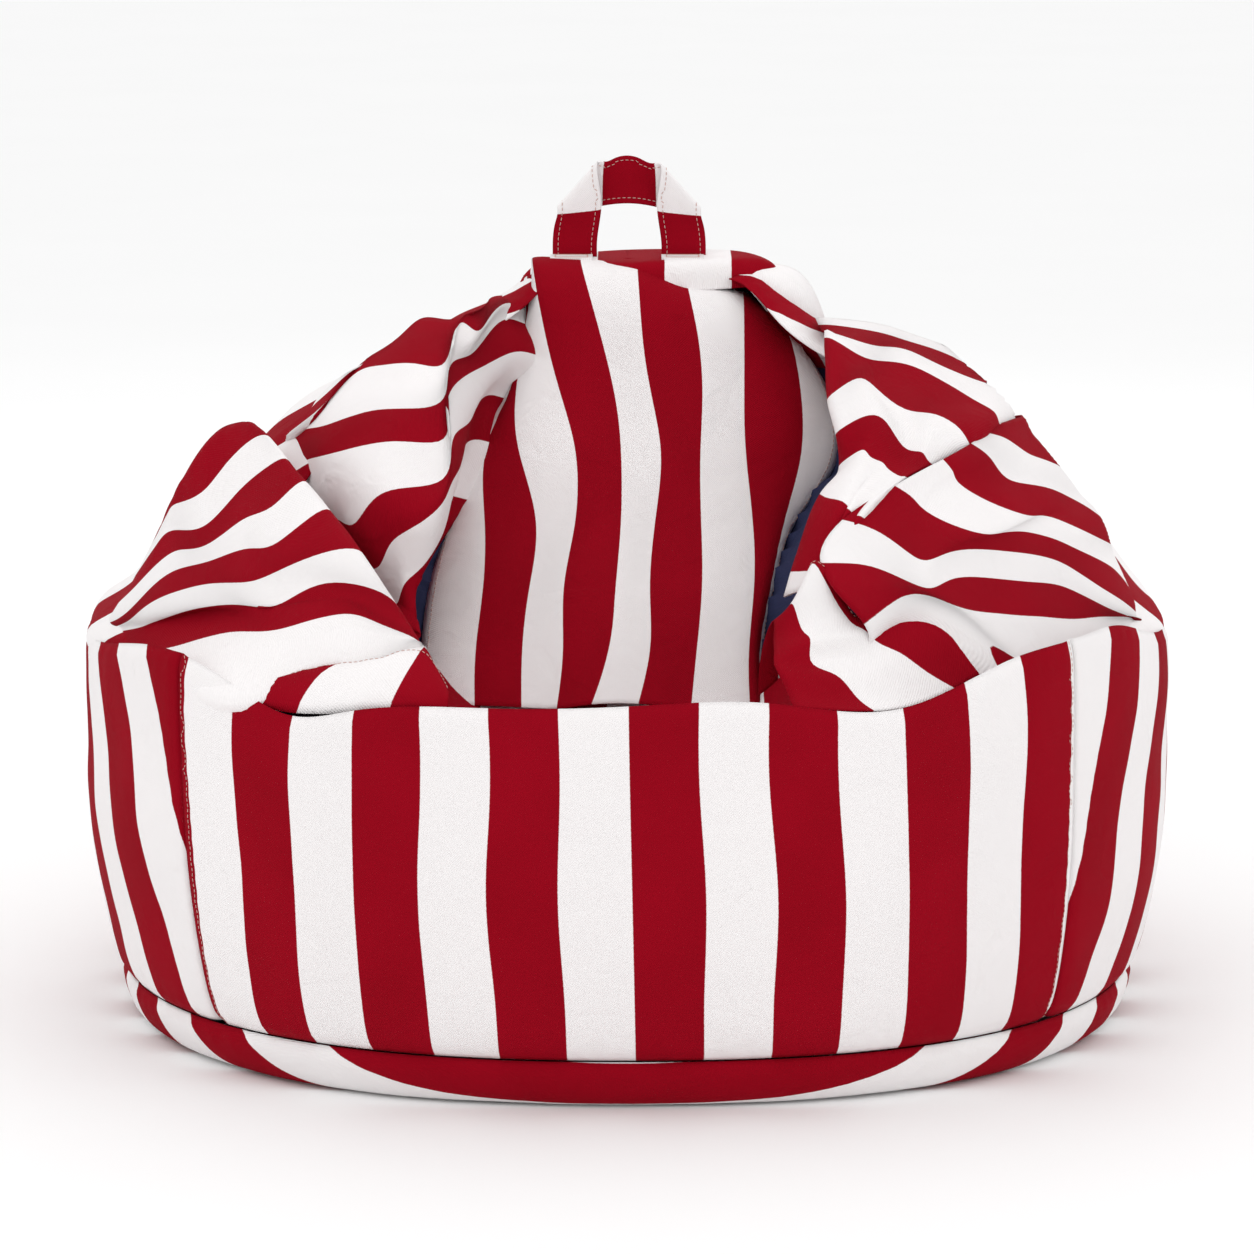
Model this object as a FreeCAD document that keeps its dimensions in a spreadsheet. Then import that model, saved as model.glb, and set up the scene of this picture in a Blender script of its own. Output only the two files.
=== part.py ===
import FreeCAD, Part, Sketcher
import os
from FreeCAD import Placement, Rotation, Vector

# Bean bag chair: a slumped, striped cotton cover made of sewn panels, with a sewn carry
# handle and a zip down the back, round a zipped liner that holds the bead fill.
# Frame: origin on the floor under the middle of the rim, front towards -Y, +Z up.

doc = FreeCAD.newDocument("bean_bag_chair")

# ---------------------------------------------------------------- driving dimensions (mm)
# One outline section per line: name, full width (X), full depth (Y) and the rise above
# the section below it.
SECTIONS = [
    ("floor", 800, 760, 0),
    ("turn", 862, 820, 12),
    ("skirt", 890, 848, 36),
    ("rim", 950, 900, 300),
    ("arm", 846, 760, 97),
    ("shoulder", 704, 600, 89),
    ("nape", 500, 436, 54),
    ("neck", 310, 262, 40),
    ("crown", 196, 166, 15),
]

# How far behind the middle the sections above the rim lie.
SHIFTS = [("arm", 38), ("shoulder", 72), ("nape", 103), ("neck", 124), ("crown", 118)]

SIZES = [
    ("cover_thickness", 2.5),
    ("liner_thickness", 1.5),
    ("lip_thickness", 25),
    ("seat_floor_radius", 150),
    ("seat_top_radius", 350),
    ("seat_hollow_depth", 86),
    ("seat_hollow_height", 420),
    ("seat_floor_round", 60),
    ("backrest_width", 300),
    ("backrest_top_depth", 60),
    ("arm_seam_back", 20),
    ("lip_back", 180),
    ("wall_seam_front", 230),
    ("wall_seam_back", 230),
    ("strap_width", 38),
    ("strap_thickness", 2.4),
    ("strap_running_gap", 0.4),
    ("loop_height", 88),
    ("loop_span", 138),
    ("loop_top_width", 48),
    ("loop_bend_height", 44),
    ("loop_bend_draw", 4),
    ("foot_length", 28),
    ("handle_back", 92),
    ("loop_hinge_rise", 2.1),
    ("tack_size", 1.0),
    ("tack_inset", 4),
    ("zip_length", 250),
    ("zip_top_margin", 16),
    ("zip_tape_half", 20),
    ("zip_tape_gap", 1.2),
    ("zip_tape_thickness", 1.0),
    ("zip_tape_sink", 0.7),
    ("zip_slot_half", 8),
    ("zip_end_sewn", 5),
    ("tooth_pitch", 4),
    ("tooth_height", 2.2),
    ("tooth_inner", 0.8),
    ("tooth_outer", 3.4),
    ("tooth_thickness", 1.8),
    ("stop_height", 3),
    ("slider_length", 14),
    ("slider_half", 6),
    ("slider_gap", 0.4),
    ("slider_plate", 1.2),
    ("slider_back_plate", 0.8),
    ("slider_back_gap", 0.35),
    ("slider_web_half", 0.35),
    ("bridge_half", 1.0),
    ("bridge_bar", 1.2),
    ("bridge_clear", 2.8),
    ("pull_length", 32),
    ("pull_half", 4.2),
    ("pull_bar_radius", 0.8),
    ("liner_zip_length", 420),
    ("liner_zip_pocket_depth", 6),
    ("liner_zip_pocket_margin", 4),
]

sheet = doc.addObject("Spreadsheet::Sheet", "Sizes")
rows = []
for name, width, depth, rise in SECTIONS:
    rows += [(name + "_width", width), (name + "_depth", depth), (name + "_rise", rise)]
rows += [(name + "_setback", shift) for name, shift in SHIFTS]
rows += SIZES
for number, (alias, value) in enumerate(rows, start=1):
    sheet.set("A%d" % number, alias.replace("_", " "))
    sheet.set("B%d" % number, str(value))
    sheet.setAlias("B%d" % number, alias)
doc.recompute()


def S(alias):
    """The expression that reads one driving dimension."""
    return "Sizes." + alias


def value(alias):
    """The number that one driving dimension holds."""
    return float(sheet.get(alias))


def level(name):
    """The expression for a section's height above the floor."""
    names = [row[0] for row in SECTIONS]
    return "(" + " + ".join(S(n + "_rise") for n in names[: names.index(name) + 1]) + ")"


# How far each nested surface lies inside the outside of the cover.
INSETS = {
    "cover": "0",
    "liner": S("cover_thickness"),
    "fill": "(%s + %s)" % (S("cover_thickness"), S("liner_thickness")),
}

# Below the rim the sections stay in line at the back, so the back wall is upright.
SETBACK = {n: "(%s - %s) / 2" % (S("rim_depth"), S(n + "_depth")) for n in ("floor", "turn", "skirt")}
SETBACK["rim"] = "0"
SETBACK.update({n: S(n + "_setback") for n, _ in SHIFTS})

BACK = "(%s / 2)" % S("rim_depth")
FAR = "900"


# ---------------------------------------------------------------- small builders
def bind(obj, **expressions):
    """Bind each named property of an object to its expression."""
    for path, expression in expressions.items():
        obj.setExpression(path.replace("__", "."), expression)
    return obj


def put(obj, x="0", y="0", z="0"):
    """Place an object at three expressions."""
    return bind(obj, Placement__Base__x=x, Placement__Base__y=y, Placement__Base__z=z)


def box(name, x, y, z):
    """A Part::Box between two expressions along each axis."""
    made = doc.addObject("Part::Box", name)
    bind(made, Length="(%s) - (%s)" % (x[1], x[0]), Width="(%s) - (%s)" % (y[1], y[0]))
    bind(made, Height="(%s) - (%s)" % (z[1], z[0]))
    return put(made, x[0], y[0], z[0])


def cut(name, base, tool):
    """One shape with another taken out of it."""
    made = doc.addObject("Part::Cut", name)
    made.Base, made.Tool = base, tool
    return made


def common(name, base, tool):
    """What two shapes share."""
    made = doc.addObject("Part::Common", name)
    made.Base, made.Tool = base, tool
    return made


def fuse(name, shapes):
    """Several shapes joined into one."""
    made = doc.addObject("Part::MultiFuse", name)
    made.Shapes = shapes
    return made


def loft(name, layer, sections, lowest=None):
    """A solid lofted through elliptic sections, drawn in by the layer's inset."""
    inset = INSETS[layer]
    profiles = []
    for section in sections:
        ring = doc.addObject("Part::Ellipse", "%s_%s" % (name, section))
        bind(ring, MajorRadius="%s / 2 - %s" % (S(section + "_width"), inset))
        bind(ring, MinorRadius="%s / 2 - %s" % (S(section + "_depth"), inset))
        height = level(section)
        if section in dict(SHIFTS):
            height += " - " + inset
        if section == lowest:
            height += " + " + inset
        put(ring, y=SETBACK[section], z=height)
        profiles.append(ring)
    made = doc.addObject("Part::Loft", name)
    made.Sections = profiles
    made.Solid = True
    return made


def seat_hollow(layer):
    """The cone-shaped hollow that a sitter presses in, grown by the layer's inset."""
    inset = INSETS[layer]
    body = doc.addObject("PartDesign::Body", layer + "_seat_hollow")
    cone = body.newObject("PartDesign::AdditiveCone", layer + "_seat_cone")
    bind(cone, Radius1="%s + %s" % (S("seat_floor_radius"), inset))
    bind(cone, Radius2="%s + %s" % (S("seat_top_radius"), inset))
    bind(cone, Height="%s + %s" % (S("seat_hollow_height"), inset))
    doc.recompute()
    circles = [(e.BoundBox.ZMax, i) for i, e in enumerate(cone.Shape.Edges, 1) if e.BoundBox.ZLength < 0.1]
    rounded = body.newObject("PartDesign::Fillet", layer + "_seat_round")
    rounded.Base = (cone, ["Edge%d" % min(circles)[1]])
    bind(rounded, Radius="%s + %s" % (S("seat_floor_round"), inset))
    body.Tip = rounded
    # The hollow stays one lip behind the front of the rim.
    spread = "(%s - %s) * %s / %s" % (
        S("seat_top_radius"), S("seat_floor_radius"), S("seat_hollow_depth"), S("seat_hollow_height"))
    middle = "-%s + %s + %s + %s" % (BACK, S("lip_thickness"), S("seat_floor_radius"), spread)
    put(body, y=middle, z="%s - %s - %s" % (level("rim"), S("seat_hollow_depth"), inset))
    return body


def polygon(body, name, points):
    """A closed sketch on the body's XZ plane, each corner bound to two expressions."""
    sketch = body.newObject("Sketcher::SketchObject", name)
    plane = [f for f in body.Origin.OriginFeatures if f.Role == "XZ_Plane"][0]
    sketch.AttachmentSupport = [(plane, "")]
    sketch.MapMode = "FlatFace"
    spots = [Vector(20.0 * i, 30.0 * (i % 3), 0) for i in range(len(points))]
    for i, spot in enumerate(spots):
        sketch.addGeometry(Part.LineSegment(spot, spots[(i + 1) % len(spots)]), False)
    for i in range(len(points)):
        sketch.addConstraint(Sketcher.Constraint("Coincident", i, 2, (i + 1) % len(points), 1))
    for i, (across, up) in enumerate(points):
        for kind, expression, coordinate in (("DistanceX", across, 0), ("DistanceY", up, 1)):
            index = sketch.addConstraint(Sketcher.Constraint(kind, i, 1, spots[i][coordinate]))
            sketch.setExpression("Constraints[%d]" % index, expression)
    return sketch


# ---------------------------------------------------------------- layers of the bag
LOWER = ["floor", "turn", "skirt"]
UPPER = ["rim", "arm", "shoulder", "nape", "neck", "crown"]
layers = {}
for layer in INSETS:
    layers[layer] = {
        "base": loft(layer + "_base", layer, LOWER, lowest="floor"),
        "wall": loft(layer + "_wall", layer, ["skirt", "rim"]),
        "dome": loft(layer + "_dome", layer, UPPER),
        "hollow": seat_hollow(layer),
    }

parts = {}


# ---------------------------------------------------------------- sewn cover panels
def below_rim():
    """Base tray, wall ring and seat bowl."""
    cover, liner = layers["cover"], layers["liner"]
    parts["base_panel"] = cut("base_panel", cover["base"], liner["base"])
    ring = cut("wall_ring", cover["wall"], liner["wall"])
    sink = box("drum_space", ("-" + FAR, FAR), ("-" + FAR, FAR), ("0", level("rim")))
    skin = cut("hollow_skin", liner["hollow"], cover["hollow"])
    parts["seat_panel"] = common("seat_panel", skin, sink)
    return ring


def above_rim():
    """The skin over the arms, shoulders and back, with the seat hollow's skin."""
    outside = cut("dome_outside", layers["cover"]["dome"], layers["cover"]["hollow"])
    inside = cut("dome_inside", layers["liner"]["dome"], layers["liner"]["hollow"])
    return cut("dome_skin", outside, inside)


def split(name, skin, x, y):
    """The piece of a skin that stands over a rectangle of the floor."""
    region = box(name + "_region", x, y, ("0", FAR))
    return common(name, skin, region)


ring = below_rim()
dome = above_rim()

half_back = "(%s / 2)" % S("backrest_width")
left_back = "-" + half_back
top_seam = "(%s - %s / 2 + %s)" % (S("crown_setback"), S("crown_depth"), S("backrest_top_depth"))
front_seam = "-" + S("wall_seam_front")
back_seam = S("wall_seam_back")
lip_back = "-" + S("lip_back")
arm_back = S("arm_seam_back")

front_ring = split("front_ring", ring, ("-" + FAR, FAR), ("-" + FAR, front_seam))
front_lip = split("front_lip", dome, (left_back, half_back), ("-" + FAR, lip_back))
parts["front_wall_panel"] = fuse("front_wall_panel", [front_ring, front_lip])
parts["left_wall_panel"] = split("left_wall_panel", ring, ("-" + FAR, "0"), (front_seam, back_seam))
parts["right_wall_panel"] = split("right_wall_panel", ring, ("0", FAR), (front_seam, back_seam))

left_of, right_of = ("-" + FAR, left_back), (half_back, FAR)
parts["backrest_panel"] = split("backrest_panel", dome, (left_back, half_back), (lip_back, top_seam))
parts["rear_top_panel"] = split("rear_top_panel", dome, (left_back, half_back), (top_seam, FAR))
parts["left_arm_panel"] = split("left_arm_panel", dome, left_of, ("-" + FAR, arm_back))
parts["right_arm_panel"] = split("right_arm_panel", dome, right_of, ("-" + FAR, arm_back))
parts["left_shoulder_panel"] = split("left_shoulder_panel", dome, left_of, (arm_back, FAR))
parts["right_shoulder_panel"] = split("right_shoulder_panel", dome, right_of, (arm_back, FAR))


# ---------------------------------------------------------------- zips
def fixed_block(x, y, z):
    """A plain block between two numbers along each axis."""
    return Part.makeBox(x[1] - x[0], y[1] - y[0], z[1] - z[0], Vector(x[0], y[0], z[0]))


def tape(name, side, length):
    """One woven tape, in the zip's frame: X across, Y out of the cover, Z along."""
    inner, outer = S("zip_tape_gap"), S("zip_tape_half")
    x = (inner, outer) if side > 0 else ("-" + outer, "-" + inner)
    low = "-" + S("zip_tape_sink")
    ends = ("-" + S("zip_end_sewn"), "%s + %s" % (length, S("zip_end_sewn")))
    return box(name, x, (low, "%s + %s" % (low, S("zip_tape_thickness"))), ends)


def teeth(name, side, length):
    """One row of moulded teeth, the right row half a pitch above the left one."""
    pitch, tall = value("tooth_pitch"), value("tooth_height")
    inner, outer = value("tooth_inner"), value("tooth_outer")
    low = value("zip_tape_thickness") - value("zip_tape_sink")
    start = value("stop_height") + (pitch / 2 if side > 0 else 0)
    x = (inner, outer) if side > 0 else (-outer, -inner)
    row = []
    while start + tall <= length - value("stop_height"):
        row.append(fixed_block(x, (low, low + value("tooth_thickness")), (start, start + tall)))
        start += pitch
    made = doc.addObject("Part::Feature", name)
    made.Shape = Part.makeCompound(row)
    return made


def stop(name, low, high):
    """A metal stop clamped over both tapes' edges at one end of the teeth."""
    outer, top = S("tooth_outer"), "%s - %s" % (S("zip_tape_thickness"), S("zip_tape_sink"))
    return box(name, ("-" + outer, outer), (top, "%s + %s" % (top, S("tooth_thickness"))), (low, high))


def slider(name, low, bridged):
    """A slider: a plate in front of the teeth, one behind the tapes and a web between them."""
    half, web = S("slider_half"), S("slider_web_half")
    length = S("slider_length")
    face = "(%s - %s)" % (S("zip_tape_thickness"), S("zip_tape_sink"))
    front = "(%s + %s + %s)" % (face, S("tooth_thickness"), S("slider_gap"))
    back = "(-%s - %s)" % (S("zip_tape_sink"), S("slider_back_gap"))
    deep = "(%s - %s)" % (back, S("slider_back_plate"))
    tall = (low, "%s + %s" % (low, length))
    pieces = [
        box(name + "_front_plate", ("-" + half, half), (front, "%s + %s" % (front, S("slider_plate"))), tall),
        box(name + "_back_plate", ("-" + half, half), (deep, back), tall),
        box(name + "_web", ("-" + web, web), (deep, front), tall),
    ]
    if bridged:
        side, bar = S("bridge_half"), S("bridge_bar")
        top = "(%s + %s)" % (front, S("slider_plate"))
        under = "(%s + %s)" % (top, S("bridge_clear"))
        x = ("-" + side, side)
        post = (top, "%s + %s" % (under, bar))
        foot = "(%s + 2 * %s)" % (low, bar)
        head = "(%s + %s - 2 * %s)" % (low, length, bar)
        pieces += [
            box(name + "_low_post", x, post, (foot, "%s + %s" % (foot, bar))),
            box(name + "_high_post", x, post, ("%s - %s" % (head, bar), head)),
            box(name + "_bridge", x, (under, "%s + %s" % (under, bar)), (foot, head)),
        ]
    return fuse(name, pieces)


def pull(name, low):
    """The pull tab: a bar under the slider's bridge, two cheeks and a tab hanging down."""
    half, radius = S("pull_half"), S("pull_bar_radius")
    cheek = "(%s + %s)" % (S("bridge_half"), S("slider_gap"))
    out = "(%s - %s + %s + %s + %s + %s / 2)" % (
        S("zip_tape_thickness"), S("zip_tape_sink"), S("tooth_thickness"), S("slider_gap"),
        S("slider_plate"), S("bridge_clear"))
    axis = "(%s + %s / 2)" % (low, S("slider_length"))
    bar = doc.addObject("Part::Cylinder", name + "_bar")
    bind(bar, Radius=radius, Height="2 * " + half)
    bar.Placement.Rotation = Rotation(Vector(0, 1, 0), 90)
    put(bar, "-" + half, out, axis)
    thick = ("%s - %s" % (out, radius), "%s + %s" % (out, radius))
    reach = "(%s - %s / 2)" % (axis, S("slider_length"))
    tall = (reach, "%s + %s" % (axis, radius))
    pieces = [
        bar,
        box(name + "_left_cheek", ("-" + half, "-" + cheek), thick, tall),
        box(name + "_right_cheek", (cheek, half), thick, tall),
        box(name + "_tab", ("-" + half, half), thick, ("%s - %s" % (axis, S("pull_length")), reach)),
    ]
    return fuse(name, pieces)


def zip_fastener(prefix, length, bridged):
    """All the pieces of one zip, in its own frame, with the slider parked at the top."""
    stop_high = S("stop_height")
    low = "(%s - %s - %s - %s)" % (length, stop_high, S("slider_gap"), S("slider_length"))
    reach = value(length.replace("Sizes.", ""))
    made = {
        prefix + "_left_tape": tape(prefix + "_left_tape", -1, length),
        prefix + "_right_tape": tape(prefix + "_right_tape", 1, length),
        prefix + "_left_teeth": teeth(prefix + "_left_teeth", -1, reach),
        prefix + "_right_teeth": teeth(prefix + "_right_teeth", 1, reach),
        prefix + "_bottom_stop": stop(prefix + "_bottom_stop", "0", "%s - %s" % (stop_high, S("slider_gap"))),
        prefix + "_top_stop": stop(prefix + "_top_stop", "%s - %s" % (length, stop_high), length),
        prefix + "_slider": slider(prefix + "_slider", low, bridged),
    }
    if bridged:
        made[prefix + "_pull"] = pull(prefix + "_pull", low)
    return made


def moved(pieces, rotation, x, y, z):
    """The same pieces, each wrapped so that its own Placement carries the zip's frame."""
    for name, piece in pieces.items():
        carrier = doc.addObject("Part::Compound", name + "_placed")
        carrier.Links = [piece]
        carrier.Placement = Placement(Vector(), rotation)
        parts[name] = put(carrier, x, y, z)


# The cover's zip runs up the middle of the upright back wall.
zip_low = "(%s - %s - %s)" % (level("rim"), S("zip_top_margin"), S("zip_length"))
moved(zip_fastener("zip", S("zip_length"), True), Rotation(), "0", BACK, zip_low)

slot = box("zip_slot", ("-" + S("zip_slot_half"), S("zip_slot_half")),
           ("%s - %s" % (BACK, S("cover_thickness")), FAR),
           (zip_low, "%s + %s" % (zip_low, S("zip_length"))))
seat_of_tape = box("zip_tape_seat", ("-" + S("zip_tape_half"), S("zip_tape_half")),
                   ("%s - %s" % (BACK, S("zip_tape_sink")), FAR),
                   ("%s - %s" % (zip_low, S("zip_end_sewn")),
                    "%s + %s + %s" % (zip_low, S("zip_length"), S("zip_end_sewn"))))
back_ring = cut("back_ring", cut("back_ring_slotted", ring, slot), seat_of_tape)
parts["rear_left_wall_panel"] = split("rear_left_wall_panel", back_ring, ("-" + FAR, "0"), (back_seam, FAR))
parts["rear_right_wall_panel"] = split("rear_right_wall_panel", back_ring, ("0", FAR), (back_seam, FAR))

# The liner's zip runs along X inside the liner's flat base, its teeth facing the beads.
liner_top = "(%s + %s)" % (S("cover_thickness"), S("liner_thickness"))
pocket_top = "%s + %s" % (liner_top, S("liner_zip_pocket_depth"))
half_run = "(%s / 2)" % S("liner_zip_length")
inward = Rotation(Vector(0, 1, 0), Vector(0, 0, 1), Vector(1, 0, 0), "XYZ")
moved(zip_fastener("liner_zip", S("liner_zip_length"), False), inward,
      "-" + half_run, "0", "%s + %s" % (liner_top, S("zip_tape_sink")))
run = ("-%s - 2 * %s" % (half_run, S("zip_end_sewn")), "%s + 2 * %s" % (half_run, S("zip_end_sewn")))
pocket_half = "(%s + %s)" % (S("zip_tape_half"), S("liner_zip_pocket_margin"))
pocket = box("liner_zip_pocket", run, ("-" + pocket_half, pocket_half), (liner_top, pocket_top))
liner_slot = box("liner_zip_slot", ("-" + half_run, half_run),
                 ("-" + S("zip_slot_half"), S("zip_slot_half")), ("0", liner_top))

# ---------------------------------------------------------------- liner and beads
whole = {}
for layer in ("liner", "fill"):
    stack = fuse(layer + "_stack", [layers[layer][k] for k in ("base", "wall", "dome")])
    whole[layer] = cut(layer + "_whole", stack, layers[layer]["hollow"])
parts["inner_liner"] = cut("inner_liner", cut("liner_skin", whole["liner"], whole["fill"]), liner_slot)
parts["bead_fill"] = cut("bead_fill", whole["fill"], pocket)

# ---------------------------------------------------------------- carry handle
strap, span = S("strap_width"), S("loop_span")
handle_y = "(%s - %s / 2 + %s)" % (S("crown_setback"), S("crown_depth"), S("handle_back"))
thickness = "(2 * %s)" % S("strap_thickness")
loop = doc.addObject("PartDesign::Body", "handle_loop")
corners = [
    ("-%s / 2" % span, "0"),
    ("-%s / 2 + %s" % (span, S("loop_bend_draw")), S("loop_bend_height")),
    ("-%s / 2" % S("loop_top_width"), S("loop_height")),
    ("%s / 2" % S("loop_top_width"), S("loop_height")),
    ("%s / 2 - %s" % (span, S("loop_bend_draw")), S("loop_bend_height")),
    ("%s / 2" % span, "0"),
    ("%s / 2 - %s" % (span, strap), "0"),
    ("%s / 2 - %s" % (span, strap), "%s - %s" % (S("loop_height"), strap)),
    ("%s - %s / 2" % (strap, span), "%s - %s" % (S("loop_height"), strap)),
    ("%s - %s / 2" % (strap, span), "0"),
]
outline = polygon(loop, "handle_loop_outline", corners)
pad = loop.newObject("PartDesign::Pad", "handle_loop_pad")
pad.Profile = outline
pad.Midplane = True
bind(pad, Length=thickness)
hinge_z = "%s + %s + %s" % (level("crown"), S("strap_thickness"), S("loop_hinge_rise"))
put(loop, "0", handle_y, hinge_z)
parts["handle_loop"] = loop

foot_back = "(%s - %s - %s)" % (handle_y, S("strap_thickness"), S("strap_running_gap"))
foot_front = "(%s - %s)" % (foot_back, S("foot_length"))
foot_low = level("crown")
foot_top = "(%s + %s)" % (foot_low, S("strap_thickness"))
for side, name in ((-1, "left"), (1, "right")):
    near = "(%s / 2 - %s)" % (span, strap)
    far = "(%s / 2)" % span
    x = (near, far) if side > 0 else ("-" + far, "-" + near)
    parts["handle_%s_foot" % name] = box("handle_%s_foot" % name, x, (foot_front, foot_back), (foot_low, foot_top))
    inset, wide = S("tack_inset"), S("tack_size")
    tx = ("%s + %s" % (x[0], inset), "%s - %s" % (x[1], inset))
    ty = ("%s + %s" % (foot_front, inset), "%s - %s" % (foot_back, inset))
    tz = (foot_top, "%s + %s / 2" % (foot_top, wide))
    tack = cut("handle_%s_tack" % name, box(name + "_tack_block", tx, ty, tz),
               box(name + "_tack_middle", ("%s + %s" % (tx[0], wide), "%s - %s" % (tx[1], wide)),
                   ("%s + %s" % (ty[0], wide), "%s - %s" % (ty[1], wide)), (foot_low, FAR)))
    parts["handle_%s_tack" % name] = tack

# ---------------------------------------------------------------- checks and export
doc.recompute()
for made in doc.Objects:
    if "Invalid" in made.State or "Error" in made.State:
        raise RuntimeError("%s failed: %s" % (made.Name, made.State))
for name, part in parts.items():
    if part.Shape.isNull() or not part.Shape.isValid() or part.Shape.Volume <= 0:
        raise RuntimeError("%s has no sound shape" % name)

os.makedirs("parts", exist_ok=True)
for name, part in sorted(parts.items()):
    part.Label = name
    part.Shape.exportStep("parts/%s.step" % name)
    print("%-24s %12.1f mm3  %d solid(s)" % (name, part.Shape.Volume, len(part.Shape.Solids)))
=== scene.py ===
import math

import bmesh
import bpy
import numpy as np
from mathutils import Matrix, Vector, noise
from mathutils.bvhtree import BVHTree


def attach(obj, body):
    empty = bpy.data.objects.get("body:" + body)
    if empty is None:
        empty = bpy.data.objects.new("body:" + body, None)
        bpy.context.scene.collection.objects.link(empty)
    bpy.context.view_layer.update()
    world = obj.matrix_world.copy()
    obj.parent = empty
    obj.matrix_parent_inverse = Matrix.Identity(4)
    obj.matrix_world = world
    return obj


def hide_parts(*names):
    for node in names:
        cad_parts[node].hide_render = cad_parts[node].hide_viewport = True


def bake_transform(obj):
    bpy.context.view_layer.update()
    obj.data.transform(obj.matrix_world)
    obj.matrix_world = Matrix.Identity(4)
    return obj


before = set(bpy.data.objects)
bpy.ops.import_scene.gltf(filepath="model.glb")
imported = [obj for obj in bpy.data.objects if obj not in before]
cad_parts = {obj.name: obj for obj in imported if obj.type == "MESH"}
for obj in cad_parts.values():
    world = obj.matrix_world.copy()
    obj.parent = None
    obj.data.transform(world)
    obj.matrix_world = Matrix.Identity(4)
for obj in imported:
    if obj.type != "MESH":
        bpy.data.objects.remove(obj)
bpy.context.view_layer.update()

bl_info = {
    "name": "Bean bag chair",
    "version": (1, 0, 0),
    "blender": (4, 5, 0),
    "location": "View3D > Sidebar > Bean bag",
    "description": "Sews a striped cotton bean bag chair over its designed parts",
    "category": "Add Mesh",
}

BAG = "bag"
HANDLE = "carry_handle"
CORE = np.array((0.0, 0.06, 0.18))
MM = 0.001

# ------------------------------------------------------------------ cloth patterns
# Each pattern is a net of points (x, y, z, across): where the cloth lies and how far
# across the stripes that point was on the roll, all in millimetres. Most of these points,
# and the rim and dome tables below, were worked out by a program outside this script and
# rounded, and some were then moved by hand. They are not an example to copy.

LEFT_ARM = [
    [(-458, -125, 336, -50), (-395, -240, 350, -15), (-331, -345, 344, -40), (-268, -346, 360, -42),
     (-236, -352, 368, -44), (-195, -360, 375, -35), (-170, -365, 385, -10)],
    [(-460, -118, 339, 0), (-398, -225, 350, 0), (-335, -265, 375, 0), (-285, -300, 385, 0),
     (-235, -315, 400, 0), (-200, -340, 395, 0), (-170, -360, 385, 0)],
    [(-460, -108, 342, 57), (-417, -175, 360, 57), (-390, -200, 375, 57), (-330, -250, 395, 57),
     (-290, -275, 400, 57), (-245, -285, 420, 57), (-195, -320, 415, 57)],
    [(-456, -90, 347, 171), (-428, -145, 370, 171), (-390, -160, 405, 171), (-355, -185, 420, 171),
     (-320, -210, 435, 171), (-290, -230, 445, 171), (-255, -220, 470, 171)],
    [(-430, -75, 385, 285), (-408, -105, 420, 285), (-390, -115, 435, 285), (-360, -145, 445, 285),
     (-335, -135, 470, 285), (-305, -140, 495, 285), (-290, -145, 500, 285)],
    [(-407, -50, 430, 399), (-398, -70, 456, 399), (-386, -75, 480, 399), (-370, -70, 503, 399),
     (-354, -55, 517, 399), (-340, -55, 522, 399), (-326, -60, 521, 399)],
]
RIGHT_ARM = [
    [(465, -70, 325, 456), (450, -105, 350, 445), (415, -180, 360, 432), (385, -225, 360, 420),
     (345, -275, 360, 440), (320, -300, 360, 456), (280, -300, 390, 440), (225, -315, 405, 405),
     (195, -340, 395, 399)],
    [(460, -85, 340, 342), (445, -120, 355, 342), (405, -175, 380, 342), (370, -195, 400, 342),
     (335, -225, 410, 342), (275, -265, 420, 342), (250, -290, 415, 342), (200, -295, 435, 342),
     (160, -305, 440, 342)],
    [(465, -60, 335, 228), (440, -85, 375, 228), (415, -110, 405, 228), (385, -140, 425, 228),
     (340, -175, 445, 228), (300, -215, 450, 228), (260, -220, 465, 228), (240, -210, 480, 228),
     (225, -215, 490, 228)],
    [(465, 10, 360, 114), (455, 15, 380, 114), (435, -5, 410, 114), (415, -55, 435, 114),
     (395, -60, 450, 114), (360, -100, 470, 114), (330, -125, 480, 114), (310, -125, 500, 114),
     (295, -120, 510, 114)],
    [(430, 35, 425, 0), (425, 35, 435, 0), (415, 45, 455, 0), (405, 50, 465, 0),
     (395, 50, 475, 0), (375, 20, 495, 0), (365, 25, 510, 0), (340, -30, 520, 0),
     (325, -60, 520, 0)],
]
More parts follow.
